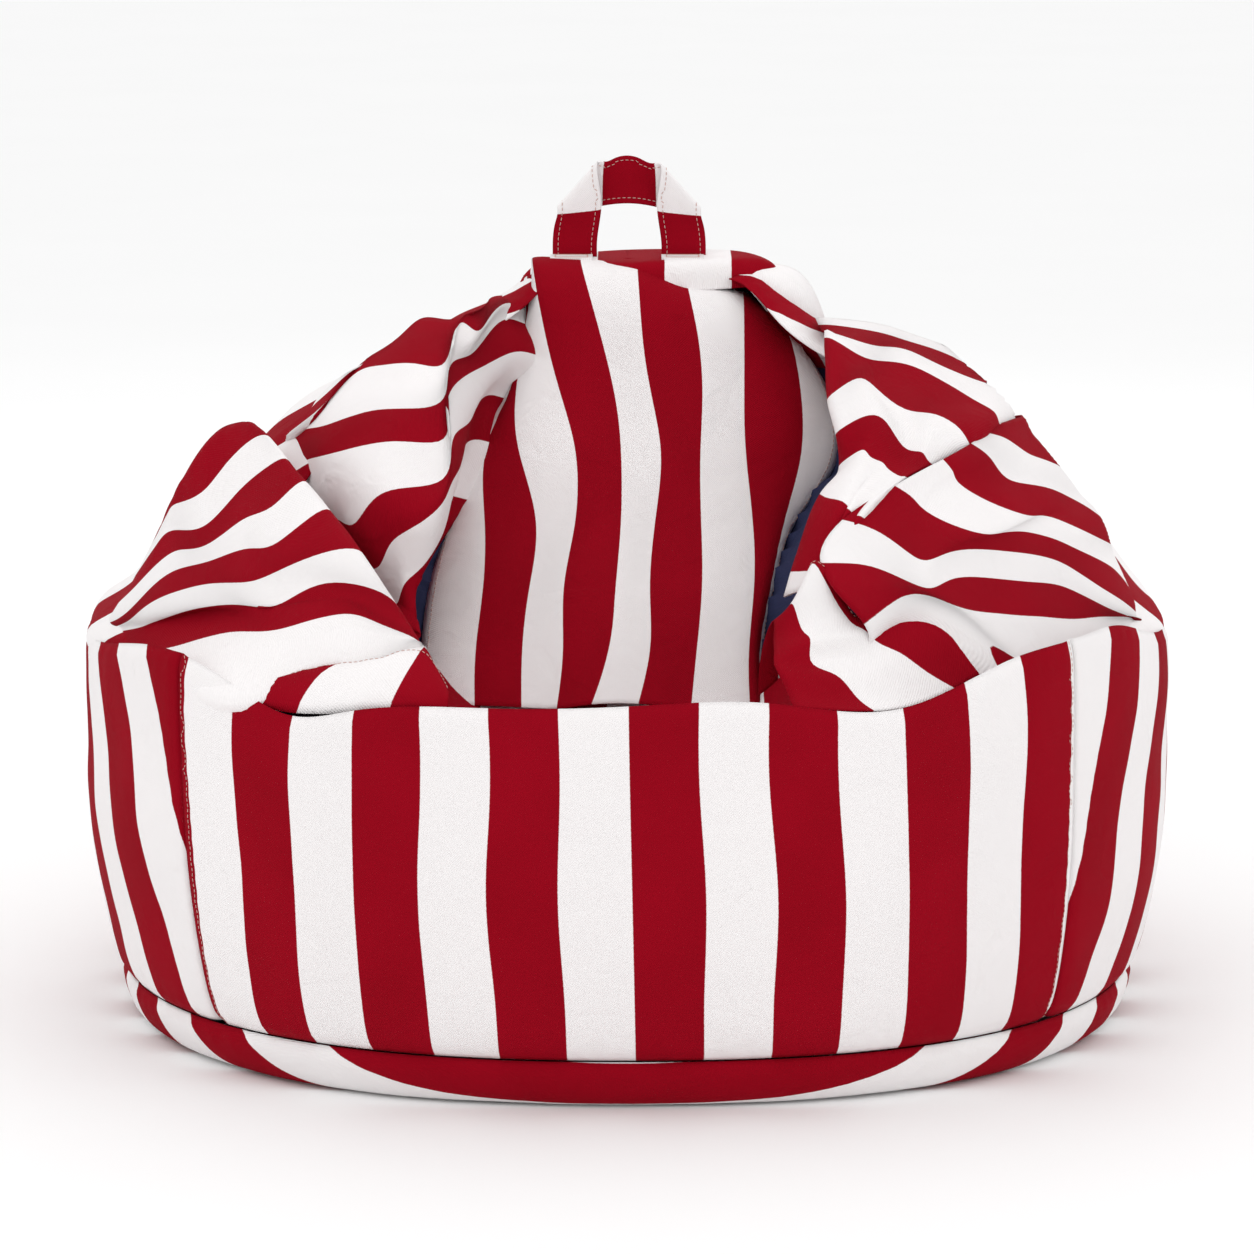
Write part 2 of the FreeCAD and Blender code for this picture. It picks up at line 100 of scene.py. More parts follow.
RIGHT_SHOULDER = [
    [(205, 150, 575, -150), (195, 20, 600, -150), (225, 30, 595, -150), (255, 40, 585, -150),
     (290, 50, 570, -150), (325, 70, 552, -150), (352, 88, 534, -150), (372, 108, 516, -150)],
    [(205, 110, 570, -57), (190, -35, 590, -57), (210, -40, 585, -57), (230, -20, 580, -57),
     (250, -15, 575, -57), (280, -10, 560, -57), (315, 10, 545, -57), (360, 70, 520, -57)],
    [(205, 60, 560, 0), (190, -65, 585, 0), (210, -60, 575, 0), (235, -45, 570, 0),
     (265, -45, 560, 0), (300, -45, 540, 0), (320, -55, 530, 0), (325, -60, 520, 0)],
    [(205, 0, 535, 57), (185, -120, 560, 57), (200, -105, 565, 57), (215, -100, 555, 57),
     (240, -115, 540, 57), (265, -105, 535, 57), (285, -115, 525, 57), (295, -120, 510, 57)],
    [(210, -60, 510, 114), (190, -165, 535, 114), (205, -155, 540, 114), (220, -155, 535, 114),
     (235, -165, 515, 114), (250, -160, 510, 114), (255, -165, 505, 114), (260, -165, 500, 114)],
    [(205, -90, 485, 171), (190, -185, 510, 171), (200, -185, 515, 171), (205, -190, 510, 171),
     (215, -190, 505, 171), (220, -195, 500, 171), (230, -200, 495, 171), (235, -200, 495, 171)],
    [(185, -130, 455, 228), (165, -210, 480, 228), (170, -225, 480, 228), (180, -240, 480, 228),
     (185, -245, 475, 228), (185, -250, 475, 228), (190, -250, 470, 228), (195, -255, 470, 228)],
    [(145, -190, 395, 300), (135, -262, 405, 300), (140, -268, 408, 300), (145, -275, 410, 300),
     (148, -278, 412, 300), (152, -278, 414, 300), (157, -276, 416, 300), (162, -270, 416, 300)],
]
LEFT_SHOULDER = [
    [(-250, -15, 555, -10), (-230, -5, 565, 0), (-200, 5, 585, 0), (-180, 20, 600, 0),
     (-160, 15, 600, 0), (-140, 5, 605, 0), (-125, 70, 609, 0), (-106, 100, 609, 0)],
    [(-270, -40, 525, 57), (-240, -15, 555, 57), (-215, -30, 565, 57), (-185, -55, 570, 57),
     (-160, -55, 570, 57), (-150, -20, 595, 57), (-131, 0, 592, 57), (-106, 62, 608, 57)],
    [(-285, -35, 510, 114), (-260, -70, 520, 114), (-220, -95, 535, 114), (-185, -110, 540, 114),
     (-160, -100, 545, 114), (-155, -65, 565, 114), (-136, -15, 575, 114), (-106, 48, 596, 114)],
    [(-285, -60, 485, 171), (-265, -90, 495, 171), (-240, -115, 505, 171), (-200, -135, 515, 171),
     (-160, -130, 515, 171), (-155, -105, 540, 171), (-127, -10, 562, 171), (-92, 40, 568, 171)],
    [(-255, -110, 445, 228), (-235, -150, 445, 228), (-220, -165, 465, 228), (-195, -170, 480, 228),
     (-160, -160, 485, 228), (-150, -140, 510, 228), (-137, -55, 520, 228), (-122, 30, 531, 228)],
    [(-225, -155, 405, 285), (-210, -175, 415, 285), (-200, -180, 435, 285), (-180, -185, 450, 285),
     (-160, -180, 465, 285), (-150, -160, 480, 285), (-142, -80, 491, 285), (-132, -5, 496, 285)],
    [(-205, -170, 380, 342), (-195, -190, 385, 342), (-190, -195, 400, 342), (-180, -190, 410, 342),
     (-170, -185, 420, 342), (-160, -175, 435, 342), (-160, -112, 442, 342), (-162, -55, 456, 342)],
    [(-195, -215, 345, 390), (-190, -225, 352, 390), (-182, -228, 358, 390), (-176, -228, 366, 390),
     (-192, -215, 372, 390), (-194, -192, 382, 390), (-198, -155, 390, 390), (-204, -112, 398, 390)],
]
BACKREST = [
    [(-95, 110, 620, -150), (-90, 95, 625, -114), (-85, 90, 630, -57), (-85, 85, 640, 0),
     (-40, 80, 640, 57), (10, 80, 635, 114), (55, 85, 620, 171), (105, 90, 610, 228),
     (145, 105, 580, 285), (155, 120, 565, 325)],
    [(-95, 75, 565, -150), (-95, 60, 565, -114), (-95, 55, 565, -57), (-70, 50, 570, 0),
     (-20, 45, 570, 57), (15, 45, 570, 114), (65, 50, 570, 171), (105, 55, 565, 228),
     (150, 70, 565, 285), (165, 85, 560, 325)],
    [(-145, 15, 480, -150), (-125, 0, 485, -114), (-95, -5, 485, -57), (-45, -10, 485, 0),
     (-5, -15, 485, 57), (30, -15, 485, 114), (65, -10, 485, 171), (105, -5, 485, 228),
     (155, 10, 485, 285), (190, 25, 480, 325)],
    [(-160, -30, 430, -150), (-125, -45, 435, -114), (-80, -50, 435, -57), (-45, -55, 435, 0),
     (-5, -60, 435, 57), (25, -60, 435, 114), (65, -55, 435, 171), (110, -50, 435, 228),
     (140, -35, 435, 285), (155, -20, 430, 325)],
    [(-175, -90, 375, -150), (-125, -105, 380, -114), (-85, -110, 380, -57), (-55, -115, 380, 0),
     (-10, -120, 380, 57), (20, -120, 380, 114), (65, -115, 380, 171), (110, -110, 380, 228),
     (125, -95, 380, 285), (130, -80, 375, 325)],
    [(-180, -130, 330, -150), (-130, -145, 335, -114), (-90, -150, 335, -57), (-55, -155, 335, 0),
     (-15, -160, 340, 57), (20, -160, 340, 114), (60, -155, 335, 171), (105, -150, 335, 228),
     (115, -135, 335, 285), (120, -120, 330, 325)],
    [(-185, -170, 290, -150), (-130, -185, 295, -114), (-90, -190, 295, -57), (-60, -195, 295, 0),
     (-30, -200, 300, 57), (10, -200, 300, 114), (55, -195, 295, 171), (105, -190, 295, 228),
     (115, -175, 295, 285), (120, -160, 290, 325)],
]
LEFT_LIP = [
    [(-331, -341, 340, -342), (-305, -360, 333, -320), (-280, -374, 330, -293),
     (-225, -398, 334, -252), (-165, -417, 340, -203), (-145, -421, 341, -182)],
    [(-331, -342, 342, -342), (-287, -354, 350, -320), (-258, -364, 356, -290),
     (-212, -378, 366, -258), (-163, -393, 364, -212), (-144, -408, 353, -185)],
    [(-331, -343, 344, -342), (-268, -346, 360, -316), (-236, -352, 368, -288),
     (-195, -360, 375, -260), (-163, -368, 382, -224), (-144, -395, 352, -190)],
]
RIGHT_LIP = [
    [(325, -296, 362, 0), (300, -292, 385, 0), (275, -290, 402, 0), (240, -288, 413, 0),
     (210, -294, 413, 0), (192, -312, 400, 0), (180, -304, 420, 0), (160, -300, 444, 0)],
    [(270, -335, 340, 57), (245, -335, 355, 57), (225, -335, 370, 57), (205, -335, 380, 57),
     (195, -335, 390, 57), (185, -330, 395, 57), (170, -320, 415, 57), (155, -310, 440, 57)],
    [(200, -400, 335, 114), (185, -385, 345, 114), (170, -375, 360, 114), (150, -365, 370, 114),
     (150, -355, 385, 114), (145, -345, 390, 114), (140, -335, 400, 114), (135, -325, 410, 114)],
    [(135, -410, 340, 165), (130, -395, 350, 165), (125, -385, 360, 165), (120, -375, 370, 165),
     (120, -365, 375, 165), (120, -350, 380, 165), (120, -335, 385, 165), (120, -320, 395, 165)],
]
CROWN_FOLD = [
    [(85, 135, 636, -45), (110, 125, 638, -45), (135, 120, 637, -45), (155, 118, 630, -45),
     (170, 115, 610, -45), (180, 112, 583, -45)],
    [(95, 108, 632, -45), (115, 100, 634, -45), (137, 98, 631, -45), (158, 98, 619, -45),
     (172, 98, 598, -45), (182, 100, 570, -45)],
    [(108, 92, 619, -30), (125, 85, 621, -30), (143, 82, 616, -30), (160, 84, 602, -30),
     (175, 88, 580, -30), (184, 94, 554, -30)],
    [(122, 92, 602, -8), (134, 82, 600, -8), (148, 80, 592, -8), (162, 82, 578, -8),
     (175, 88, 560, -8), (185, 96, 536, -8)],
    [(130, 102, 588, 30), (140, 94, 578, 30), (152, 92, 566, 30), (165, 94, 549, 30),
     (177, 100, 530, 30), (187, 106, 508, 30)],
]
SEAT = [
    [(-190, -398, 330, -175), (-130, -412, 334, -85), (-70, -420, 337, -10), (0, -424, 339, 78),
     (70, -420, 337, 165), (130, -412, 334, 240), (190, -398, 330, 330)],
    [(-200, -395, 325, -175), (-140, -398, 318, -85), (-70, -400, 314, -10), (0, -400, 313, 78),
     (70, -400, 314, 165), (135, -398, 318, 240), (190, -395, 325, 330)],
    [(-205, -340, 335, -175), (-145, -340, 300, -85), (-75, -340, 284, -10), (0, -340, 282, 78),
     (70, -340, 284, 165), (130, -340, 300, 240), (180, -340, 335, 330)],
    [(-215, -270, 350, -175), (-150, -270, 295, -85), (-75, -270, 270, -10), (0, -270, 268, 78),
     (70, -270, 270, 165), (125, -270, 295, 240), (175, -270, 350, 330)],
    [(-235, -200, 360, -175), (-155, -200, 300, -85), (-75, -200, 276, -10), (0, -200, 274, 78),
     (70, -200, 276, 165), (125, -200, 300, 240), (170, -200, 360, 330)],
    [(-240, -150, 370, -175), (-155, -150, 315, -85), (-75, -150, 292, -10), (0, -150, 290, 78),
     (70, -150, 292, 165), (125, -150, 315, 240), (170, -150, 370, 330)],
]

# Heights of the rim seam by direction, in degrees from the front, + towards +X.
RIM_HEIGHTS = [(-180, 345), (-120, 342), (-95, 333), (-80, 338), (-67, 350), (-60, 360), (-53, 365),
               (-43, 346), (-36, 327), (-29, 336), (-15, 344), (0, 347), (15, 348), (29, 338), (36, 354),
               (42, 369), (51, 376), (58, 378), (66, 362), (78, 345), (95, 333), (120, 342), (180, 345)]
# How far the wall draws in, from the rim (0) down to the skirt seam (1).
WALL_DRAW_IN = [(0, 0), (0.12, -2), (0.3, -2), (0.5, -1), (0.7, 4), (0.85, 11), (0.95, 19), (1, 26)]
SKIRT = [(43, 26), (34, 26), (20, 29), (9, 35), (3, 43), (1.6, 56)]
# The back of the dome at each height: left reach, right reach, centre, depth behind it.
DOME = [(318, 466, 466, 0, 441), (345, 473, 473, 1, 447), (360, 452, 462, 8, 436), (389, 424, 440, 22, 412),
        (418, 394, 418, 33, 388), (452, 362, 392, 46, 356), (480, 334, 370, 58, 330),
        (509, 304, 342, 68, 302), (526, 278, 316, 76, 282), (546, 238, 274, 86, 254),
        (562, 204, 236, 93, 230), (578, 174, 198, 100, 202), (595, 140, 168, 108, 170),
        (610, 112, 150, 114, 138), (625, 92, 130, 117, 106), (634, 80, 112, 118, 82)]
DOME_EDGE = math.radians(106)


class BeanBagSettings(bpy.types.PropertyGroup):
    stripe: bpy.props.FloatProperty(
        name="Stripe", description="Width of one woven stripe", default=0.057, unit="LENGTH")
    cloth: bpy.props.FloatProperty(
        name="Cloth", description="Thickness of the cotton twill", default=0.0012, unit="LENGTH")
    cell: bpy.props.FloatProperty(
        name="Cell", description="Spacing of the cloth's mesh", default=0.0048, unit="LENGTH")
    seam_depth: bpy.props.FloatProperty(
        name="Seam depth", description="How far a seam pulls the cloth in", default=0.0032, unit="LENGTH")
    pucker_height: bpy.props.FloatProperty(
        name="Pucker height", description="Height of the gathers along a seam", default=0.0007, unit="LENGTH")
    pucker_length: bpy.props.FloatProperty(
        name="Pucker length", description="Spacing of the gathers along a seam", default=0.021, unit="LENGTH")
    wrinkle: bpy.props.FloatProperty(
        name="Wrinkle", description="Depth of the broad wrinkles", default=0.0035, unit="LENGTH")
    stitch: bpy.props.FloatProperty(
        name="Stitch", description="Length of one stitch", default=0.0030, unit="LENGTH")
    stitch_pitch: bpy.props.FloatProperty(
        name="Stitch pitch", description="Distance from stitch to stitch", default=0.0046, unit="LENGTH")
    strap_width: bpy.props.FloatProperty(
        name="Strap width", description="Width of the carry handle", default=0.040, unit="LENGTH")
    red: bpy.props.FloatVectorProperty(
        name="Red", description="Dyed stripe", default=(0.31, 0.0008, 0.010), subtype="COLOR")
    white: bpy.props.FloatVectorProperty(
        name="White", description="Bleached stripe", default=(0.93, 0.90, 0.90), subtype="COLOR")
    # Navy of the inner bag's cloth; it shows through the gaps between the panels as painted shade in the
    # deepest creases.
    navy: bpy.props.FloatVectorProperty(
        name="Navy", description="Inner bag's cloth", default=(0.012, 0.018, 0.075), subtype="COLOR")
    thread: bpy.props.FloatVectorProperty(
        name="Thread", description="Sewing thread", default=(0.80, 0.52, 0.46), subtype="COLOR")
    steel: bpy.props.FloatVectorProperty(
        name="Steel", description="Zip slider and stops", default=(0.62, 0.62, 0.64), subtype="COLOR")


def settings():
    return bpy.context.scene.bean_bag


# ------------------------------------------------------------------ finishes


def new_group(name, inputs, outputs):
    """An empty shader group with these sockets, and its input and output nodes."""
    group = bpy.data.node_groups.new(name, "ShaderNodeTree")
    for label, kind, default in inputs:
        socket = group.interface.new_socket(name=label, in_out="INPUT", socket_type=kind)
        socket.default_value = default
    for label, kind in outputs:
        group.interface.new_socket(name=label, in_out="OUTPUT", socket_type=kind)
    return group, group.nodes.new("NodeGroupInput"), group.nodes.new("NodeGroupOutput")


def math_node(tree, operation, a, b=None):
    """One sum on values or sockets."""
    node = tree.nodes.new("ShaderNodeMath")
    node.operation = operation
    for socket, value in zip(node.inputs, (a, b)):
        if value is None:
            continue
        if isinstance(value, bpy.types.NodeSocket):
            tree.links.new(value, socket)
        else:
            socket.default_value = value
    return node.outputs[0]


def mixed(tree, factor, a, b):
    """A colour between a and b."""
    node = tree.nodes.new("ShaderNodeMix")
    node.data_type = "RGBA"
    for socket, value in ((node.inputs[0], factor), (node.inputs[6], a), (node.inputs[7], b)):
        if isinstance(value, bpy.types.NodeSocket):
            tree.links.new(value, socket)
        else:
            socket.default_value = value if isinstance(value, float) else (*value, 1)
    return node.outputs[2]


def noise_node(tree, vector, scale, detail=2.0):
    """Cloudy noise from 0 to 1."""
    node = tree.nodes.new("ShaderNodeTexNoise")
    node.inputs["Scale"].default_value = scale
    node.inputs["Detail"].default_value = detail
    tree.links.new(vector, node.inputs["Vector"])
    return node.outputs["Fac"]


def weave_group():
    """Twill: fine diagonal ribs crossed by the threads, as a height and a shade."""
    group, inside, out = new_group(
        "twill_weave", [("Cloth", "NodeSocketVector", (0, 0, 0)), ("Rib", "NodeSocketFloat", 0.0019)],
        [("Height", "NodeSocketFloat"), ("Shade", "NodeSocketFloat")])
    parts = group.nodes.new("ShaderNodeSeparateXYZ")
    group.links.new(inside.outputs["Cloth"], parts.inputs[0])
    turn = math_node(group, "DIVIDE", 2 * math.pi, inside.outputs["Rib"])
    across = math_node(group, "MULTIPLY", parts.outputs["X"], turn)
    along = math_node(group, "MULTIPLY", parts.outputs["Y"], turn)
    wander = math_node(group, "MULTIPLY", noise_node(group, inside.outputs["Cloth"], 60.0), 2.4)
    rib = math_node(group, "SINE", math_node(group, "ADD", math_node(group, "ADD", across, along), wander))
    yarn = math_node(group, "SINE", math_node(group, "MULTIPLY", along, 2.6))
    fibre = noise_node(group, inside.outputs["Cloth"], 1400.0, 3.0)
    height = math_node(group, "ADD", math_node(group, "MULTIPLY", rib, 0.30),
                       math_node(group, "MULTIPLY", yarn, 0.10))
    height = math_node(group, "ADD", height, math_node(group, "MULTIPLY", fibre, 0.35))
    group.links.new(height, out.inputs["Height"])
    shade = math_node(group, "ADD", math_node(group, "MULTIPLY", rib, 0.10),
                      math_node(group, "MULTIPLY", fibre, 0.5))
    group.links.new(shade, out.inputs["Shade"])
    return group


def stripe_group():
    """Two dyed bands that alternate across the cloth, with softly bleeding edges."""
    group, inside, out = new_group(
        "woven_stripes",
        [("Cloth", "NodeSocketVector", (0, 0, 0)), ("Stripe", "NodeSocketFloat", 0.057),
         ("Dyed", "NodeSocketColor", (0.4, 0, 0, 1)), ("Plain", "NodeSocketColor", (0.9, 0.9, 0.9, 1)),
         ("Shade", "NodeSocketFloat", 0.0)],
        [("Color", "NodeSocketColor"), ("Dye", "NodeSocketFloat")])
    parts = group.nodes.new("ShaderNodeSeparateXYZ")
    group.links.new(inside.outputs["Cloth"], parts.inputs[0])
    fray = math_node(group, "MULTIPLY", noise_node(group, inside.outputs["Cloth"], 420.0), 0.0006)
    place = math_node(group, "ADD", parts.outputs["X"], fray)
    pair = math_node(group, "MULTIPLY", inside.outputs["Stripe"], 2.0)
    turn = math_node(group, "FRACT", math_node(group, "DIVIDE", place, pair))
    away = math_node(group, "ABSOLUTE", math_node(group, "SUBTRACT", turn, 0.25))
    edge = math_node(group, "MULTIPLY", math_node(group, "SUBTRACT", 0.25, away), 220.0)
    far = math_node(group, "ABSOLUTE", math_node(group, "SUBTRACT", turn, 1.25))
    edge_far = math_node(group, "MULTIPLY", math_node(group, "SUBTRACT", 0.25, far), 220.0)
    dye = math_node(group, "ADD", math_node(group, "MAXIMUM", edge, edge_far), 0.5)
    dye = math_node(group, "MINIMUM", math_node(group, "MAXIMUM", dye, 0.0), 1.0)
    cloudy = noise_node(group, inside.outputs["Cloth"], 9.0, 4.0)
    deep = mixed(group, cloudy, (0.78, 0.62, 0.66), (1.12, 1.25, 1.2))
    dyed = group.nodes.new("ShaderNodeVectorMath")
    dyed.operation = "MULTIPLY"
    group.links.new(inside.outputs["Dyed"], dyed.inputs[0])
    group.links.new(deep, dyed.inputs[1])
    colour = mixed(group, dye, inside.outputs["Plain"], dyed.outputs[0])
    shaded = mixed(group, inside.outputs["Shade"], colour, (0.0, 0.0, 0.0))
    group.links.new(shaded, out.inputs["Color"])
    group.links.new(dye, out.inputs["Dye"])
    return group


def crumple_group():
    """The small creases that handling leaves in cotton, as a height."""
    group, inside, out = new_group(
        "cloth_creases", [("Place", "NodeSocketVector", (0, 0, 0)), ("Size", "NodeSocketFloat", 26.0)],
        [("Height", "NodeSocketFloat")])
    drift = group.nodes.new("ShaderNodeTexNoise")
    drift.inputs["Detail"].default_value = 2.0
    group.links.new(inside.outputs["Place"], drift.inputs["Vector"])
    group.links.new(inside.outputs["Size"], drift.inputs["Scale"])
    drift.inputs["Distortion"].default_value = 0.8
    ridge = math_node(group, "ABSOLUTE", math_node(group, "SUBTRACT", drift.outputs["Fac"], 0.5))
    ridge = math_node(group, "MULTIPLY", ridge, -2.0)
    group.links.new(math_node(group, "ADD", ridge, drift.outputs["Fac"]), out.inputs["Height"])
    return group


def new_material(name):
    material = bpy.data.materials.new(name)
    material.use_nodes = True
    tree = material.node_tree
    return material, tree, tree.nodes["Principled BSDF"]


def placed_group(tree, group, **values):
    node = tree.nodes.new("ShaderNodeGroup")
    node.node_tree = group
    for label, value in values.items():
        if isinstance(value, bpy.types.NodeSocket):
            tree.links.new(value, node.inputs[label])
        else:
            node.inputs[label].default_value = value
    return node.outputs


def bumped(tree, shader, height, distance, strength=1.0, under=None):
    bump = tree.nodes.new("ShaderNodeBump")
    bump.inputs["Distance"].default_value = distance
    bump.inputs["Strength"].default_value = strength
    tree.links.new(height, bump.inputs["Height"])
    if under is not None:
        tree.links.new(under, bump.inputs["Normal"])
    tree.links.new(bump.outputs[0], shader.inputs["Normal"])
    return bump.outputs[0]


def cloth_place(tree):
    return tree.nodes.new("ShaderNodeTexCoord").outputs["UV"]


def object_place(tree):
    return tree.nodes.new("ShaderNodeTexCoord").outputs["Object"]


def striped_cotton(name, groups, rib, dyed, plain, crease):
    material, tree, shader = new_material(name)
    cloth = cloth_place(tree)
    weave = placed_group(tree, groups["weave"], Cloth=cloth, Rib=rib)
    stripes = placed_group(tree, groups["stripes"], Cloth=cloth, Stripe=settings().stripe,
                           Dyed=(*dyed, 1), Plain=(*plain, 1), Shade=math_node(
                               tree, "MULTIPLY", weave["Shade"], 0.12))
    tree.links.new(stripes["Color"], shader.inputs["Base Color"])
    rough = math_node(tree, "ADD", math_node(tree, "MULTIPLY", weave["Shade"], 0.10), 0.80)
    tree.links.new(rough, shader.inputs["Roughness"])
    shader.inputs["Specular IOR Level"].default_value = 0.06
    folds = placed_group(tree, groups["creases"], Place=object_place(tree), Size=26.0)
    first = bumped(tree, shader, folds["Height"], crease)
    bumped(tree, shader, weave["Height"], 0.0004, under=first)
    return material


def plain_woven(name, groups, colour, rib, roughness):
    material, tree, shader = new_material(name)
    place = object_place(tree)
    weave = placed_group(tree, groups["weave"], Cloth=place, Rib=rib)
    tint = mixed(tree, weave["Shade"], colour, tuple(c * 0.45 for c in colour))
    tree.links.new(tint, shader.inputs["Base Color"])
    shader.inputs["Roughness"].default_value = roughness
    folds = placed_group(tree, groups["creases"], Place=place, Size=18.0)
    first = bumped(tree, shader, folds["Height"], 0.004)
    bumped(tree, shader, weave["Height"], rib * 0.15, under=first)
    return material


def sewn_thread(name, colour):
    material, tree, shader = new_material(name)
    twist = tree.nodes.new("ShaderNodeTexWave")
    twist.inputs["Scale"].default_value = 900.0
    twist.bands_direction = "DIAGONAL"
    tree.links.new(object_place(tree), twist.inputs["Vector"])
    tint = mixed(tree, twist.outputs["Fac"], tuple(c * 0.7 for c in colour), tuple(colour))
    tree.links.new(tint, shader.inputs["Base Color"])
    shader.inputs["Roughness"].default_value = 0.55
    bumped(tree, shader, twist.outputs["Fac"], 0.0002)
    return material


def cast_metal(name, colour, roughness):
    material, tree, shader = new_material(name)
    shader.inputs["Metallic"].default_value = 1.0
    wear = noise_node(tree, object_place(tree), 700.0, 4.0)
    tint = mixed(tree, wear, tuple(c * 0.72 for c in colour), tuple(colour))
    tree.links.new(tint, shader.inputs["Base Color"])
    tree.links.new(math_node(tree, "ADD", math_node(tree, "MULTIPLY", wear, 0.25), roughness),
                   shader.inputs["Roughness"])
    bumped(tree, shader, wear, 0.0001)
    return material


def moulded_teeth(name, colour):
    material, tree, shader = new_material(name)
    speckle = noise_node(tree, object_place(tree), 1200.0, 3.0)
    tint = mixed(tree, speckle, tuple(c * 0.8 for c in colour), tuple(colour))
    tree.links.new(tint, shader.inputs["Base Color"])
    shader.inputs["Roughness"].default_value = 0.35
    bumped(tree, shader, speckle, 0.00008)
    return material


NODE_FINISHES = (("tape", "red_tape"), ("teeth", "zip_teeth_resin"), ("stop", "zip_steel"),
                 ("slider", "zip_steel"), ("pull", "zip_steel"), ("tack", "cotton_thread"),
                 ("foot", "white_strap"))


class BEANBAG_OT_finishes(bpy.types.Operator):
    """Mix every cloth, thread and metal finish and put them on the designed parts"""

    bl_idname = "beanbag.finishes"
    bl_label = "Finishes"

    def execute(self, context):
        s = settings()
        groups = {"weave": weave_group(), "stripes": stripe_group(), "creases": crumple_group()}
        striped_cotton("striped_twill", groups, 0.0021, s.red, s.white, 0.0012)
        striped_cotton("strap_twill", groups, 0.0021, s.red, s.white, 0.0006)
        # The inner bag's navy cloth, which also stands as painted shade in the creases where it shows between
        # the panels.
        plain_woven("navy_lining", groups, tuple(s.navy), 0.0012, 0.85)
        plain_woven("white_strap", groups, tuple(s.white), 0.0019, 0.85)
        plain_woven("red_tape", groups, tuple(s.red), 0.0012, 0.75)
        sewn_thread("cotton_thread", tuple(s.thread))
        cast_metal("zip_steel", tuple(s.steel), 0.22)
        moulded_teeth("zip_teeth_resin", (0.30, 0.01, 0.02))
        for name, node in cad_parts.items():
            finish = next((finish for key, finish in NODE_FINISHES if key in name), "navy_lining")
            node.data.materials.clear()
            node.data.materials.append(bpy.data.materials[finish])
        return {"FINISHED"}


# ------------------------------------------------------------------ sewing


def spline(knots, values, at):
    """A natural cubic through the values at the knots, read at the given places."""
    knots, values = np.asarray(knots, float), np.asarray(values, float)
    count, step = len(knots), np.diff(knots)
    left = np.eye(count)
    right = np.zeros(values.shape)
    for i in range(1, count - 1):
        left[i, i - 1:i + 2] = step[i - 1], 2 * (step[i - 1] + step[i]), step[i]
        right[i] = 6 * ((values[i + 1] - values[i]) / step[i] - (values[i] - values[i - 1]) / step[i - 1])
    bend = np.linalg.solve(left, right.reshape(count, -1)).reshape(values.shape)
    k = np.clip(np.searchsorted(knots, at) - 1, 0, count - 2)
    shape = (-1,) + (1,) * (values.ndim - 1)
    h = step[k].reshape(shape)
    a = ((knots[k + 1] - at).reshape(shape)) / h
    b = 1 - a
    return (a * values[k] + b * values[k + 1]
            + ((a ** 3 - a) * bend[k] + (b ** 3 - b) * bend[k + 1]) * h ** 2 / 6)


def read_table(table, at):
    """The smooth curves through a table whose first column is the place."""
    rows = np.array(table, float)
    return spline(rows[:, 0], rows[:, 1:], np.atleast_1d(at))


def run_of(points, axis):
    """Distance along the cloth from its first row (axis 0) or first column (axis 1)."""
    step = np.linalg.norm(np.diff(points, axis=axis), axis=-1)
    start = np.zeros_like(np.take(step, [0], axis=axis))
    return np.concatenate((start, np.cumsum(step, axis=axis)), axis=axis)


def draped(net, cell):
    """The smooth cloth through a net of points; gives places and the across values."""
    net = np.array(net, float) * MM
    rows = run_of(net[..., :3], 0).mean(axis=1)
    columns = run_of(net[..., :3], 1).mean(axis=0)
    at_u = np.linspace(0, columns[-1], max(8, int(columns[-1] / cell)))
    at_v = np.linspace(0, rows[-1], max(8, int(rows[-1] / cell)))
    wide = spline(columns, net.transpose(1, 0, 2), at_u).transpose(1, 0, 2)
    cloth = spline(rows, wide, at_v)
    return cloth[..., :3], cloth[..., 3]


def normals_of(points):
    """The direction square to the cloth at every point of a grid."""
    across, down = np.gradient(points, axis=1), np.gradient(points, axis=0)
    normal = np.cross(across, down)
    return normal / np.maximum(np.linalg.norm(normal, axis=-1, keepdims=True), 1e-12)


def facing_out(points, normal):
    """Whether these normals point away from the middle of the bag."""
    return np.sum(normal * (points - CORE)) > 0


sewn = {}


def tailor(points, seams, seed, wrinkle=1.0):
    """Pull the seams in, gather the cloth along them and let the rest wrinkle."""
    s = settings()
    normal = normals_of(points)
    if not facing_out(points, normal):
        normal = -normal
    along_u, along_v = run_of(points, 1), run_of(points, 0)
    edges = {"left": (along_u, along_v), "right": (along_u[:, -1:] - along_u, along_v),
             "top": (along_v, along_u), "bottom": (along_v[-1:] - along_v, along_u)}
    rise = np.zeros(points.shape[:2])
    nearest = np.full(points.shape[:2], 9.0)
    for edge in seams:
        away, along = edges[edge]
        rise -= s.seam_depth * np.exp(-(away / 0.006) ** 2)
        wave = np.sin(2 * math.pi * along / s.pucker_length + 2.0 * np.sin(along * 31.0 + seed))
        rise += s.pucker_height * wave * np.exp(-away / 0.016) * (1 - np.exp(-(away / 0.005) ** 2))
        nearest = np.minimum(nearest, away)
    calm = (1 - np.exp(-(nearest / 0.025) ** 2)) * s.wrinkle * wrinkle
    for i in range(points.shape[0]):
        for j in range(points.shape[1]):
            x, y, z = points[i, j]
            broad = noise.noise(Vector((x * 8 + seed, y * 8, z * 8)))
            fine = noise.noise(Vector((x * 26, y * 26 + seed, z * 26)))
            rise[i, j] += calm[i, j] * (broad + 0.28 * fine)
    return points + normal * rise[..., None]


